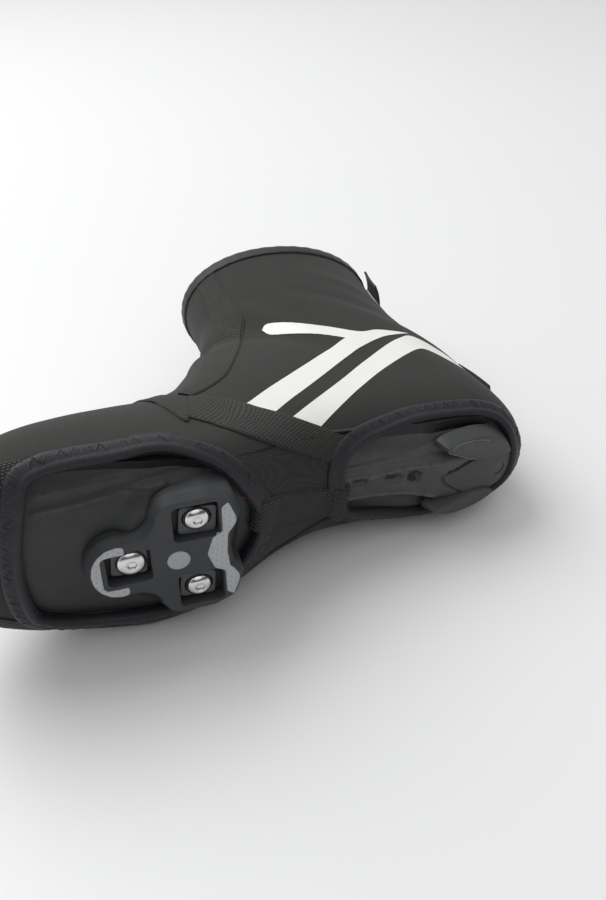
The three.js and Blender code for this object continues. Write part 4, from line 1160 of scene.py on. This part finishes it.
for name, sides in (("upper_stripe", UPPER_STRIPE), ("lower_stripe", LOWER_STRIPE)):
    edge = np.concatenate([smooth_line(side, 8 + 9 * len(side))[:-1] for side in sides])
    places, triangles = filled(edge, 2.2)
    u_at, v_at = beside(places)
    film = surface(u_at, v_at, np.full(len(u_at), PRINT_LIFT))
    piece(name, film, triangles, print_film)
    print(name, len(triangles), "triangles")

# %% [markdown]
# ## Seams
#
# The panels are joined by flat seams, which show as thin raised lines with a shade on either side. Each
# is a thin cord half sunk in the skin along a drawn line.

# %% Seams
SIDE_SEAMS = [
    [(82.4, 208), (85.1, 195.3), (87.9, 168.5), (90.8, 145.9), (98.7, 132.1), (111.2, 110.9), (122.7, 94.5),
     (132.2, 83.4), (145.4, 73.9), (158.7, 66.4)],
    [(91.9, 208), (98, 182), (104.4, 146.3)],
]
lines = []
for drawn in SIDE_SEAMS:
    for inner in (True, False):
        su, sv = beside(smooth_line(np.array(drawn, float), 90), inner)
        lines.append(surface(su, sv, np.full(90, 0.05)))
for edge in band_edges:
    lines.append(surface(edge[:, 0], edge[:, 1], np.full(len(edge), 0.35)))
points, faces = tubes(lines, 0.62)
piece("panel_seams", points, faces, neoprene)
print("seam lines", len(lines))

# %% [markdown]
# ## Sole
#
# The sole is a moulded plate that follows the foot. It is worked as a fine net over its underside, and the
# relief is added as heights: ribs down the waist, a hollowed outer flank, three vents, a small V
# groove and a rise at the heel, and the raised island under the cleat. Distances to drawn lines and
# outlines make every edge of the relief as soft or as crisp as a mould would leave it.

# %% Relief helpers
def from_line(xy, nodes):
    """Distance from each point to an open line."""
    nodes = np.asarray(nodes, float)
    best = np.full(xy.shape[:-1], 1e9)
    for a, b in zip(nodes[:-1], nodes[1:]):
        t = np.clip(((xy - a) @ (b - a)) / ((b - a) @ (b - a)), 0, 1)
        best = np.minimum(best, np.linalg.norm(xy - a - t[..., None] * (b - a), axis=-1))
    return best


def into(xy, outline):
    """How deep each point lies in a closed outline; negative outside."""
    away = from_line(xy, np.concatenate([outline, outline[:1]]))
    return np.where(in_outline(xy, np.asarray(outline)), away, -away)


def soft(value, low, high):
    t = np.clip((value - low) / (high - low), 0, 1)
    return t * t * (3 - 2 * t)


def shares(table):
    return np.array(table) * (HALF_WAIST, FOOT_LENGTH)


RIBS = [
    # height, half width, line
    (0.9, 1.0, [(-1.6, 112), (-2.4, 96.5), (-3.1, 80), (-6.5, 64.5), (-8.8, 48.3)]),
    (0.7, 2.6, [(-8.6, 112), (-9.4, 96.3), (-11.7, 75.2), (-16.6, 57.7), (-19.9, 45.8)]),
    (0.8, 1.0, [(10.9, 112), (10.8, 92.1), (10.3, 77.3), (10.3, 63.9), (11.8, 49.9)]),
    (0.5, 3.0, [(-36.3, 245.2), (-37.9, 231.7), (-39.9, 215.9), (-41.9, 194.2), (-42, 185)]),
    (0.7, 3.4, [(-27.9, 246.8), (-30.1, 231.2), (-34.2, 210.9), (-36.1, 195.4)]),
]
FLANK = np.array([
    (12.4, 102), (12.2, 92), (11.7, 77), (11.8, 64), (13.4, 51.5), (20, 49.5), (27, 51), (31, 62), (32, 76),
    (31, 92), (28, 104),
])
V_GROOVE = [
    (-7.6, 33.3), (-4.1, 40.3), (-1.4, 47.1), (1.1, 48.2), (5, 45), (11.2, 36.8), (15.2, 31.9), (18.3, 31.4),
]
ISLAND = smooth_line(np.array([
    (-36, 206), (-38.5, 196), (-39, 186), (-36, 176), (-29, 166.5), (-18, 160.5), (-4, 158.5), (8, 160),
    (18, 164), (26, 171), (30, 180), (30, 200), (20, 212), (0, 216), (-20, 214),
]), 90, closed=True)


def vented(xy):
    """1 in a vent, 0 outside; the rear vent is notched towards the heel."""
    mark = np.zeros(xy.shape[:-1])
    for cx, cy, half_x, half_y in VENTS:
        away = np.sqrt(((xy[..., 0] - cx) / half_x) ** 2 + ((xy[..., 1] - cy) / half_y) ** 2)
        mark = np.maximum(mark, soft(away, 1.12, 0.88))
    notch = np.linalg.norm(xy - (0.2, 56.2), axis=-1)
    return mark * soft(notch, 3.2, 3.9)


def relief(xy):
    """The sole's relief in mm outwards, and its masks of painted crest highlight and hollow shade."""
    height, crest_highlight = np.zeros(xy.shape[:-1]), np.zeros(xy.shape[:-1])
    for rise, half, nodes in RIBS:
        away = from_line(xy, smooth_line(nodes, 60))
        height = np.maximum(height, rise * soft(away, half, 0.1))
        crest_highlight = np.maximum(crest_highlight, soft(away, min(half, 1.3), 0.1) * (1.0 if half < 2 else 0.25))
    groove = soft(from_line(xy, smooth_line(V_GROOVE, 60)), 0.8, 0.3)
    flank = soft(into(xy, smooth_line(FLANK, 80, closed=True)), -0.3, 2.6)
    vents = vented(xy)
    height = height + 2.9 * soft(xy[..., 1], 68, 47) * soft(np.abs(xy[..., 0] - 1.5), 17, 11)
    height = height - 6.0 * flank - 2.6 * vents - 0.8 * groove
    height = height + 2.4 * soft(into(xy, ISLAND), -2.0, 5.5)
    return height, crest_highlight * (1 - flank), np.maximum(groove * 0.9, flank * 0.8)


# %% [markdown]
# ## Sole plate and insole
#
# The plate's net stops on each side where a thin rim rises past the footbed, and the sides turn back
# down to the footbed from there. The insole is a thin bed between the rims. Rays run in from either
# side to find the plate's underside, and the bed stops short of it.

# %% Sole plate
FOOTBED_Y = SECTIONS[1:16, 0][::-1]
FOOTBED_Z = SECTIONS[1:16, 1][::-1] + WALL + GAP + PLATE
plate_u = np.concatenate([np.array([0.5, 0.7]), np.linspace(0.9, 9.2, 230), np.linspace(9.23, 16.35, 300)])
spread = np.linspace(-1, 1, 151)
fine_v = np.linspace(0, 0.27, 160)
RIM_HEIGHT, RIM_WALL = 11.0, 1.0
limits = []
for u in plate_u:
    ends = []
    for sign in (-1, 1):
        around_v = sign * fine_v
        ring = form(u, around_v) - form_normal(u, around_v) * (WALL + GAP)
        above = ring[:, 2] - np.interp(ring[:, 1], FOOTBED_Y, FOOTBED_Z) - RIM_HEIGHT * soft(u, 1.5, 5.0)
        over = np.argmax(above > 0) if (above > 0).any() else 159
        ends.append(sign * fine_v[max(over, 1)])
    limits.append(ends)
limits = np.array(limits)
arc = np.sign(spread) * np.abs(spread) ** 0.85
plate_v = np.where(arc[None] < 0, -arc[None] * limits[:, :1], arc[None] * limits[:, 1:])
pu = np.repeat(plate_u[:, None], len(spread), axis=1)
smooth_under = form(pu, plate_v)
under_normal = form_normal(pu, plate_v)
heights, crest_highlights, hollow_shades = relief(smooth_under[..., :2])
low_enough = soft(smooth_under[..., 2], 26.0, 20.0)
under = smooth_under + under_normal * (heights * low_enough - WALL - GAP)[..., None]
rim_left = under[:, :1] - under_normal[:, :1] * RIM_WALL
rim_right = under[:, -1:] - under_normal[:, -1:] * RIM_WALL
feet = []
for rim, side in ((rim_left, 0), (rim_right, -1)):
    foot = rim.copy()
    foot[..., 2] = np.minimum(rim[..., 2], np.interp(rim[..., 1], FOOTBED_Y, FOOTBED_Z))
    feet.append(foot)
net = np.concatenate([feet[0], rim_left, under, rim_right, feet[1]], axis=1)
rows_count, columns_count = net.shape[:2]
plate_faces = [tuple(f[::-1]) for f in grid_faces(rows_count, columns_count)]
last = columns_count - 1
for start in range(0, (rows_count - 1) * columns_count, columns_count):
    after = start + columns_count
    plate_faces.append((start, after, after + last, start + last))
# The map carries the painted highlight on the crests and the painted shade in the hollows.
painted_light_masks = np.zeros(net.shape[:2] + (2,))
painted_light_masks[:, 2:-2, 0], painted_light_masks[:, 2:-2, 1] = crest_highlights * low_enough, hollow_shades * low_enough
piece(
    "sole_plate_moulding", net.reshape(-1, 3), plate_faces, sole, ["sole_plate"],
    cloth=painted_light_masks.reshape(-1, 2),
)
sole_tree = BVHTree.FromPolygons(
    [Vector(p) for p in under.reshape(-1, 3)], grid_faces(under.shape[0], under.shape[1]).tolist()
)
print("sole faces", len(plate_faces))

# %% Insole
bed_y = np.linspace(3, 288, 110)
bed_rows = []
bed_profile = [(0.35, -0.5), (0.35, 0.0), (1.6, 0.35), (2.6, 0.0), (2.95, -0.6)]
for y in bed_y:
    low = np.interp(y, FOOTBED_Y, FOOTBED_Z)
    sides = []
    for sign in (-1, 1):
        place, *_ = sole_tree.ray_cast(Vector((sign * 90, y, low + 1.7)), Vector((-sign, 0, 0)))
        if place is None:
            place, _ = thrown(skin_tree, (sign * 90, y, low + 1.7), (-sign, 0, 0))
            place = place - np.array([sign * 4.4, 0, 0])
        sides.append(place[0] - sign * (RIM_WALL + 1.6))
    left, right = sides
    ring = [(left + 0.9 - out * 0.6, y, low + lift) for lift, out in bed_profile]
    ring += [(right - 0.9 + out * 0.6, y, low + lift) for lift, out in bed_profile[::-1]]
    bed_rows.append(ring)
bed = np.array(bed_rows)
bed_faces = [tuple(f) for f in grid_faces(len(bed_y), bed.shape[1], closed_columns=True)]
around = bed.shape[1]
bed_faces += [tuple(range(around))[::-1], tuple(range((len(bed_y) - 1) * around, len(bed_y) * around))]
piece("insole_bed", bed.reshape(-1, 3), bed_faces, insole_felt, ["insole"], sharp=60)
print("insole", len(bed_faces), "faces")


# %% [markdown]
# ## Heel lugs
#
# Two lugs of rubber stand on the ground plane, with a thinner pad and one bolt between them. They are
# outlines with rounded rims, and flare a little towards the sole as a moulding has to.

# %% Blocks with rounded rims
def block(name, outline, depths, finish, place, replaces, step=2.5, holes=(), floor=None):
    """A block from its face downwards. depths lists how far its side stands out at each depth; place
    turns x, y and depth into a point; each hole is an outline with its own list of depths."""
    rings = [(grown(outline, out), depth) for out, depth in depths]
    places, triangles = filled(rings[0][0], step, [grown(h, hd[0][0]) for h, hd in holes])
    points = [place(places, np.full(len(places), depths[0][1]))]
    faces = [tuple(t) for t in triangles]
    slots = [0] * len(faces)
    start = len(places)
    down = [([(grown(hole, out), depth) for out, depth in hole_depths], True) for hole, hole_depths in holes]
    for ring_set, down_holes in [(rings, False)] + down:
        n = len(ring_set[0][0])
        for ring, depth in ring_set:
            points.append(place(ring, np.full(n, depth) if np.isscalar(depth) else depth))
        made = grid_faces(len(ring_set), n, closed_columns=True) + start
        faces += [tuple(f) for f in made]
        slots += [0] * len(made)
        faces.append(tuple(range(start + (len(ring_set) - 1) * n, start + len(ring_set) * n)))
        slots.append(1 if down_holes and floor else 0)
        start += n * len(ring_set)
    made = piece(name, np.concatenate(points), faces, finish, replaces,
                 materials=(floor, slots) if floor else None)
    keep_sharp(made, 38, weld=True)
    return made


def from_ground(xy, depth):
    return np.concatenate([xy, np.asarray(depth)[:, None]], 1)


FLARE = [(0.5, 2.2), (1.5, 5.0), (2.2, 8.5)]
ROUNDED = [(-1.1, 0.0), (-0.6, 0.12), (-0.2, 0.45), (0.0, 1.0)]
LUG_INNER = shares([
    (-0.555, 0.174), (-0.610, 0.150), (-0.625, 0.115), (-0.580, 0.083), (-0.500, 0.060), (-0.400, 0.042),
    (-0.260, 0.030), (-0.200, 0.034), (-0.215, 0.090), (-0.330, 0.130), (-0.450, 0.162),
])
LUG_OUTER = shares([
    (0.470, 0.176), (0.400, 0.130), (0.330, 0.092), (0.360, 0.065), (0.430, 0.050), (0.510, 0.058),
    (0.590, 0.085), (0.630, 0.120), (0.610, 0.150), (0.540, 0.170),
])
for name, outline in (("inner", LUG_INNER), ("outer", LUG_OUTER)):
    edge = smooth_line(outline, 110, closed=True)
    block(f"heel_lug_{name}_moulding", edge, ROUNDED + FLARE, lug, from_ground, [f"heel_lug_{name}"])
print("two lugs")


# %% [markdown]
# ## Painted highlights on the inner lug's edges
#
# Fine pale lines along the inner lug's rounded edges are painted highlight. Each is a
# thread-thin tube along a drawn line with a little seeded wobble.

# %% Painted highlights on the inner lug's edges
# The pale tubes are painted highlight along the lug's rounded edges.
painted_edge_highlight = Finish("painted_edge_highlight", Roughness=0.7)
edge_highlight_tone = painted_edge_highlight.between(painted_edge_highlight.noise(1.2, 3), (0.05, 0.05, 0.05, 1), (0.42, 0.42, 0.41, 1))
painted_edge_highlight.feed("Base Color", edge_highlight_tone)
EDGE_HIGHLIGHTS = [
    [(-19.6, 50.2), (-21.8, 45.0), (-22.3, 38.0), (-21.3, 31.0), (-19.5, 25.5)],
    [(-17.6, 49.0), (-15.0, 43.8), (-12.3, 38.0), (-9.4, 31.0)],
    [(-19.9, 50.8), (-18.6, 50.4), (-17.4, 48.8)],
]
edge_highlight_lines = []
for nodes in EDGE_HIGHLIGHTS:
    line = smooth_line(nodes, 60) + random.normal(0, 0.06, (60, 2))
    edge_highlight_lines.append(np.concatenate([line, np.full((60, 1), 0.10)], 1))
points, faces = tubes(edge_highlight_lines, 0.16)
piece("lug_edge_highlights", points, faces, painted_edge_highlight)
print("scuff lines", len(edge_highlight_lines))

# %% [markdown]
# ## Heel pad and its bolt
#
# A thin pad lies between the lugs on the curve of the heel, and a low domed bolt sits in a well in it.

# %% Heel pad and its bolt
def keel_height(x, y):
    u, v = underneath(np.stack([x, y], -1))
    return form(u, v)[:, 2]


def under_heel(xy, depth):
    return np.stack([xy[:, 0], xy[:, 1], keel_height(xy[:, 0], xy[:, 1]) + depth - 0.15], -1)


HEEL_PAD = np.array([
    (-7.3, 33.0), (-4.0, 39.6), (-1.5, 46.2), (1.0, 47.3), (4.7, 44.2), (10.8, 36.0), (14.0, 31.0),
    (14.6, 24), (15.0, 17), (12.5, 9.5), (6, 6.5), (-3, 6.2), (-10, 9.5), (-11.5, 18), (-9, 27),
])
HEEL_BOLT = np.array([2.0, 13.6])
circle_turn = np.arange(48) * 2 * math.pi / 48
unit_circle = np.stack([np.cos(circle_turn), np.sin(circle_turn)], -1)
well = unit_circle * 3.5 + HEEL_BOLT
pad_depths = [(-0.7, 0), (-0.2, 0.15), (0, 0.6), (0, 2.9)]
well_depths = [(0.4, 0), (0.1, 0.15), (0, 0.5), (0, 2.4)]
block("heel_pad_moulding", smooth_line(HEEL_PAD, 90, closed=True), pad_depths, lug, under_heel,
      ["heel_pad"], holes=[(well, well_depths)], floor=lug)


def turned(name, profile, place, finish, slot, replaces, hexagon=0.0, depth=0.0):
    """A turned part. profile lists radius and depth from its rim inwards; a hexagon socket may follow."""
    rings = [(unit_circle * radius, low) for radius, low in profile]
    if hexagon:
        angle = (circle_turn + math.pi / 6) % (math.pi / 3) - math.pi / 6
        six = unit_circle * (hexagon / 2 / np.cos(angle))[:, None]
        low = profile[-1][1]
        rings += [(six * 1.12, low), (six, low + 0.12), (six, low + depth), (six * 0.5, low + depth + 0.35)]
    points = np.concatenate([place(ring, np.full(48, low)) for ring, low in rings])
    faces = [tuple(f) for f in grid_faces(len(rings), 48, closed_columns=True)]
    faces += [tuple(range(48)), tuple(range((len(rings) - 1) * 48, len(rings) * 48))]
    return piece(name, points, faces, finish, replaces, sharp=35)


DOME = [
    (1.0, 6.0), (1.0, 0.0), (0.985, -0.12), (0.93, -0.36), (0.84, -0.56), (0.72, -0.72), (0.58, -0.85),
    (0.47, -0.91),
]
heel_floor = SECTIONS[14, 1] + WALL - 0.9
HEEL_DOME = DOME[:-1] + [(0.42, -0.94), (0.2, -0.99)]
turned("heel_bolt_head", [(2.7 * r, z * 1.6 if z < 0 else z) for r, z in HEEL_DOME],
       lambda ring, low: from_ground(ring + HEEL_BOLT, heel_floor + low), lug, "lug", ["heel_bolt"])
print("heel pad and bolt")

# %% [markdown]
# ## Cleat
#
# The cleat is one moulding that tapers from the sole to a flat face. Three pockets sink into the face.
# On each pocket's floor lies a plate with an oval slot, so that the cleat can be shifted before its bolt
# is tightened. The grip pads are let into the face at nose and tail and stand a hair proud of it.

# %% Cleat planes
CLEAT_HALF, CLEAT_LONG, POCKET = 32.0, 61.0, 5.5
tilt = Matrix.Translation((0, 189.94, 0.9)) @ Matrix.Rotation(math.radians(12), 4, "X")
turned_tilt = tilt @ Matrix.Rotation(math.radians(-5.4), 4, "Z")
cleat_plane, bolt_plane = np.array(turned_tilt), np.array(tilt)


def on_plane(plane):
    """Turns x, y and depth on a tipped plane into a point."""
    return lambda xy, depth: from_ground(xy, depth) @ plane[:3, :3].T + plane[:3, 3]


def both_sides(half):
    half = np.array(half)
    other = half[half[:, 0] > 0][::-1] * (-1, 1)
    return np.concatenate([half, other]) * (CLEAT_HALF, CLEAT_LONG)


def cornered(nodes, count, radius):
    """A closed outline with straight sides and rounded corners."""
    nodes = np.asarray(nodes, float)
    points = []
    for before, at, after in zip(np.roll(nodes, 1, 0), nodes, np.roll(nodes, -1, 0)):
        back, ahead = before - at, after - at
        cut = min(radius, np.linalg.norm(back) * 0.45, np.linalg.norm(ahead) * 0.45)
        a = at + back / np.linalg.norm(back) * cut
        b = at + ahead / np.linalg.norm(ahead) * cut
        t = np.linspace(0, 1, 7)[:, None]
        points.extend((1 - t) ** 2 * a + 2 * t * (1 - t) * at + t**2 * b)
    points = np.array(points)
    closed = np.concatenate([points, points[:1]])
    run = along_length(closed)
    wanted = np.linspace(0, run[-1], count, endpoint=False)
    return np.stack([np.interp(wanted, run, closed[:, k]) for k in (0, 1)], -1)


def box_outline(x0, x1, y0, y1):
    return np.array([(x0, y0), (x1, y0), (x1, y1), (x0, y1)])


FACE_HALF = [
    (0.00, 0.664), (0.17, 0.650), (0.32, 0.610), (0.43, 0.540), (0.465, 0.460), (0.44, 0.390), (0.455, 0.310),
    (0.53, 0.238), (0.66, 0.180), (0.84, 0.155), (0.95, 0.123), (1.00, 0.057), (1.00, -0.200), (0.94, -0.280),
    (0.86, -0.367), (0.58, -0.413), (0.48, -0.410), (0.36, -0.343), (0.00, -0.330),
]
face_outline = cornered(both_sides(FACE_HALF), 260, 2.2)
POCKETS = {
    "inner": box_outline(-0.90 * CLEAT_HALF, -0.31 * CLEAT_HALF, -0.282 * CLEAT_LONG, 0.05 * CLEAT_LONG),
    "outer": box_outline(0.31 * CLEAT_HALF, 0.90 * CLEAT_HALF, -0.282 * CLEAT_LONG, 0.05 * CLEAT_LONG),
    "front": box_outline(-0.32 * CLEAT_HALF, 0.25 * CLEAT_HALF, 0.225 * CLEAT_LONG, 0.545 * CLEAT_LONG),
}
HEX_ACROSS = 4.2
BOLT_RADII = {"inner": 6.0, "outer": 6.0, "front": 6.9}
BOLTS = {"inner": (-19.9, -6.0), "outer": (19.2, -8.0), "front": (0.6, 22.3)}
PLATES = {
    "inner": (-25.8, -11.4, -14.6, 1.9), "outer": (12.0, 25.6, -15.6, 0.4), "front": (-7.2, 7.4, 15.2, 31.0),
}
print("pockets:", len(POCKETS))

# %% Cleat body
axis = cleat_plane[:3, 2]
low_ring = on_plane(cleat_plane)(grown(face_outline, 2.2), np.full(260, 5.0))
reach = []
for point in low_ring:
    hit = sole_tree.ray_cast(Vector(point - axis * 12), Vector(axis))
    reach.append(np.clip((hit[3] or 22.0) - 12, 0.5, 16.0) + 1.2 if hit[0] is not None else 8.0)
reach = 5.0 + np.array(reach)
cleat_depths = [(-0.55, 0.0), (-0.2, 0.1), (0.0, 0.38), (0.45, 1.6), (1.4, 3.4), (2.2, 5.0), (2.2, 5.01)]
cleat_depths.append((2.2, reach))
pocket_depths = [(0.35, 0.0), (0.1, 0.1), (0.0, 0.35), (-0.15, POCKET)]
cleat_body = block(
    "cleat_moulding", face_outline, cleat_depths, cleat, on_plane(cleat_plane), ["cleat_body"],
    step=4.0, floor=black_metal,
    holes=[(cornered(nodes, 64, 2.4), pocket_depths) for nodes in POCKETS.values()],
)
print("cleat faces", len(cleat_body.data.polygons))

# %% Pads
NOSE_PAD = [
    (0.00, 0.655), (0.165, 0.642), (0.31, 0.602), (0.415, 0.535), (0.450, 0.455), (0.425, 0.405),
    (0.300, 0.405), (0.310, 0.470), (0.300, 0.555), (0.250, 0.580), (0.00, 0.582),
]
REAR_PAD = [
    (0.00, -0.175), (0.28, -0.222), (0.36, -0.298), (0.78, -0.300), (0.855, -0.352),
    (0.57, -0.402), (0.47, -0.397), (0.30, -0.335), (0.00, -0.322),
]
for name, half in (("nose", NOSE_PAD), ("rear", REAR_PAD)):
    edge = cornered(both_sides(half), 200, 1.2)
    depths = [(-0.3, -0.4), (-0.1, -0.33), (0, -0.1), (0, 1.1)]
    block(f"cleat_{name}_pad_rubber", edge, depths, pad, on_plane(cleat_plane), [f"cleat_{name}_pad"])
DISC_RADIUS, DISC_AT = 5.1, (0, 0.033 * CLEAT_LONG)
disc_depths = [(-0.25, -0.3), (-0.05, -0.22), (0, 0), (0, 1.1)]
block("cleat_disc_rubber", unit_circle * DISC_RADIUS + DISC_AT, disc_depths, disc, on_plane(cleat_plane),
      ["cleat_centre_disc"])
print("two grip pads and a disc")

# %% Pocket plates and bolts
for name, (bx, by) in BOLTS.items():
    x0, x1, y0, y1 = PLATES[name]
    plate_edge = cornered(box_outline(x0, x1, y0, y1), 72, 2.0)
    slot_shape = unit_circle * (5.6, 5.6) + (bx, by)
    slot_shape[:, 1] += np.where(slot_shape[:, 1] > by, 0.9, -0.9)
    slot_shape = np.clip(slot_shape, (x0 + 0.7, y0 + 0.7), (x1 - 0.7, y1 - 0.7))
    block(f"cleat_washer_{name}_plate", plate_edge, [(-0.2, 3.3), (0, 3.5), (0, 5.15)], plate_metal,
          on_plane(bolt_plane), [f"cleat_washer_{name}"],
          holes=[(slot_shape, [(0.15, 3.3), (0, 3.5), (0, 4.9)])], floor=black_metal)
    radius = BOLT_RADII[name]
    head = [(radius * r, 3.2 + z * 2.9 if z < 0 else 3.2 + z * 0.3) for r, z in DOME]
    bolt_at = bolt_plane @ np.array(Matrix.Translation((bx, by, 0)))
    turned(f"cleat_bolt_{name}_head", head, on_plane(bolt_at), steel, "bolt", [f"cleat_bolt_{name}"],
           hexagon=HEX_ACROSS, depth=1.5)
print("cleat dressed")

# %% [markdown]
# ## Floor, light and camera
#
# The photograph is a plain studio shot on a pale sweep. A wide, soft light hangs high beyond the collar,
# and a weak one fills in from the camera's side. The room is pale all round and dim only low down behind
# the camera, which gives the polished bolts something dark to mirror. The camera was fitted to the cleat
# and to the sole, so that the pieces land where the photograph has them.

# %% Floor and light
paper = Finish("pale_sweep", Roughness=0.42)
paper.feed("Base Color", paper.between(paper.noise(300), (0.80, 0.805, 0.81, 1), (0.82, 0.82, 0.825, 1)))
paper.bump(paper.noise(2), 0.01)
mesh = bpy.data.meshes.new("floor")
mesh.from_pydata([(-12, -12, 0), (12, -12, 0), (12, 12, 0), (-12, 12, 0)], [], [(0, 1, 2, 3)])
mesh.materials.append(paper.material)
floor = bpy.data.objects.new("floor", mesh)
bpy.context.scene.collection.objects.link(floor)


def soft_light(name, place, aim, size, power):
    lamp = bpy.data.lights.new(name, "AREA")
    lamp.shape, lamp.size, lamp.energy = "DISK", size, power
    made = bpy.data.objects.new(name, lamp)
    made.location = place
    made.rotation_euler = (Vector(aim) - Vector(place)).to_track_quat("-Z", "Y").to_euler()
    bpy.context.scene.collection.objects.link(made)


soft_light("key", (0.95, 0.4, 1.4), (0.0, 0.0, 0.05), 1.7, 23)
soft_light("fill", (-1.3, 0.3, 1.1), (0.0, 0.0, 0.05), 1.6, 3)
world = bpy.data.worlds.new("studio")
world.use_nodes = True
studio = world.node_tree
looked = studio.nodes.new("ShaderNodeTexCoord")
axes = studio.nodes.new("ShaderNodeSeparateXYZ")
studio.links.new(looked.outputs["Generated"], axes.inputs["Vector"])


def room(kind, *values, **settings):
    """One Map Range or Math node of the room's light."""
    made = studio.nodes.new("ShaderNode" + kind)
    for key, value in settings.items():
        setattr(made, key, value)
    for slot, value in zip(made.inputs, values):
        if isinstance(value, bpy.types.NodeSocket):
            studio.links.new(value, slot)
        else:
            slot.default_value = value
    return made.outputs[0]


behind = room("MapRange", axes.outputs["X"], -0.1, -0.55, 0.0, 1.0)
low_down = room("MapRange", axes.outputs["Z"], 0.62, 0.40, 0.0, 1.0)
dim = room("Math", behind, low_down, operation="MULTIPLY")
strength = room("Math", dim, -0.50, 0.62, operation="MULTIPLY_ADD")
studio.links.new(strength, studio.nodes["Background"].inputs["Strength"])
studio.nodes["Background"].inputs["Color"].default_value = (1, 1, 1, 1)
bpy.context.scene.world = world

# %% Camera
SEEN_FROM = (-283.3, 315.9, -280.9)
RIGHT = (-0.08582, -0.86934, -0.48670)
DOWN = (0.80856, 0.22465, -0.54384)
FORWARD = (0.58212, -0.44020, 0.68364)
lens = bpy.data.cameras.new("camera")
lens.lens, lens.sensor_width, lens.sensor_fit = 38.0, 36.0, "AUTO"
camera = bpy.data.objects.new("camera", lens)
turn = np.stack([LAID @ np.array(RIGHT), -LAID @ np.array(DOWN), -LAID @ np.array(FORWARD)], 1)
pose = np.eye(4)
pose[:3, :3], pose[:3, 3] = turn, laid(SEEN_FROM)
camera.matrix_world = Matrix(pose.tolist())
bpy.context.scene.collection.objects.link(camera)
bpy.context.scene.camera = camera
bpy.context.scene.view_settings.view_transform = "Standard"
bpy.context.view_layer.update()
print("camera", lens.lens, "mm")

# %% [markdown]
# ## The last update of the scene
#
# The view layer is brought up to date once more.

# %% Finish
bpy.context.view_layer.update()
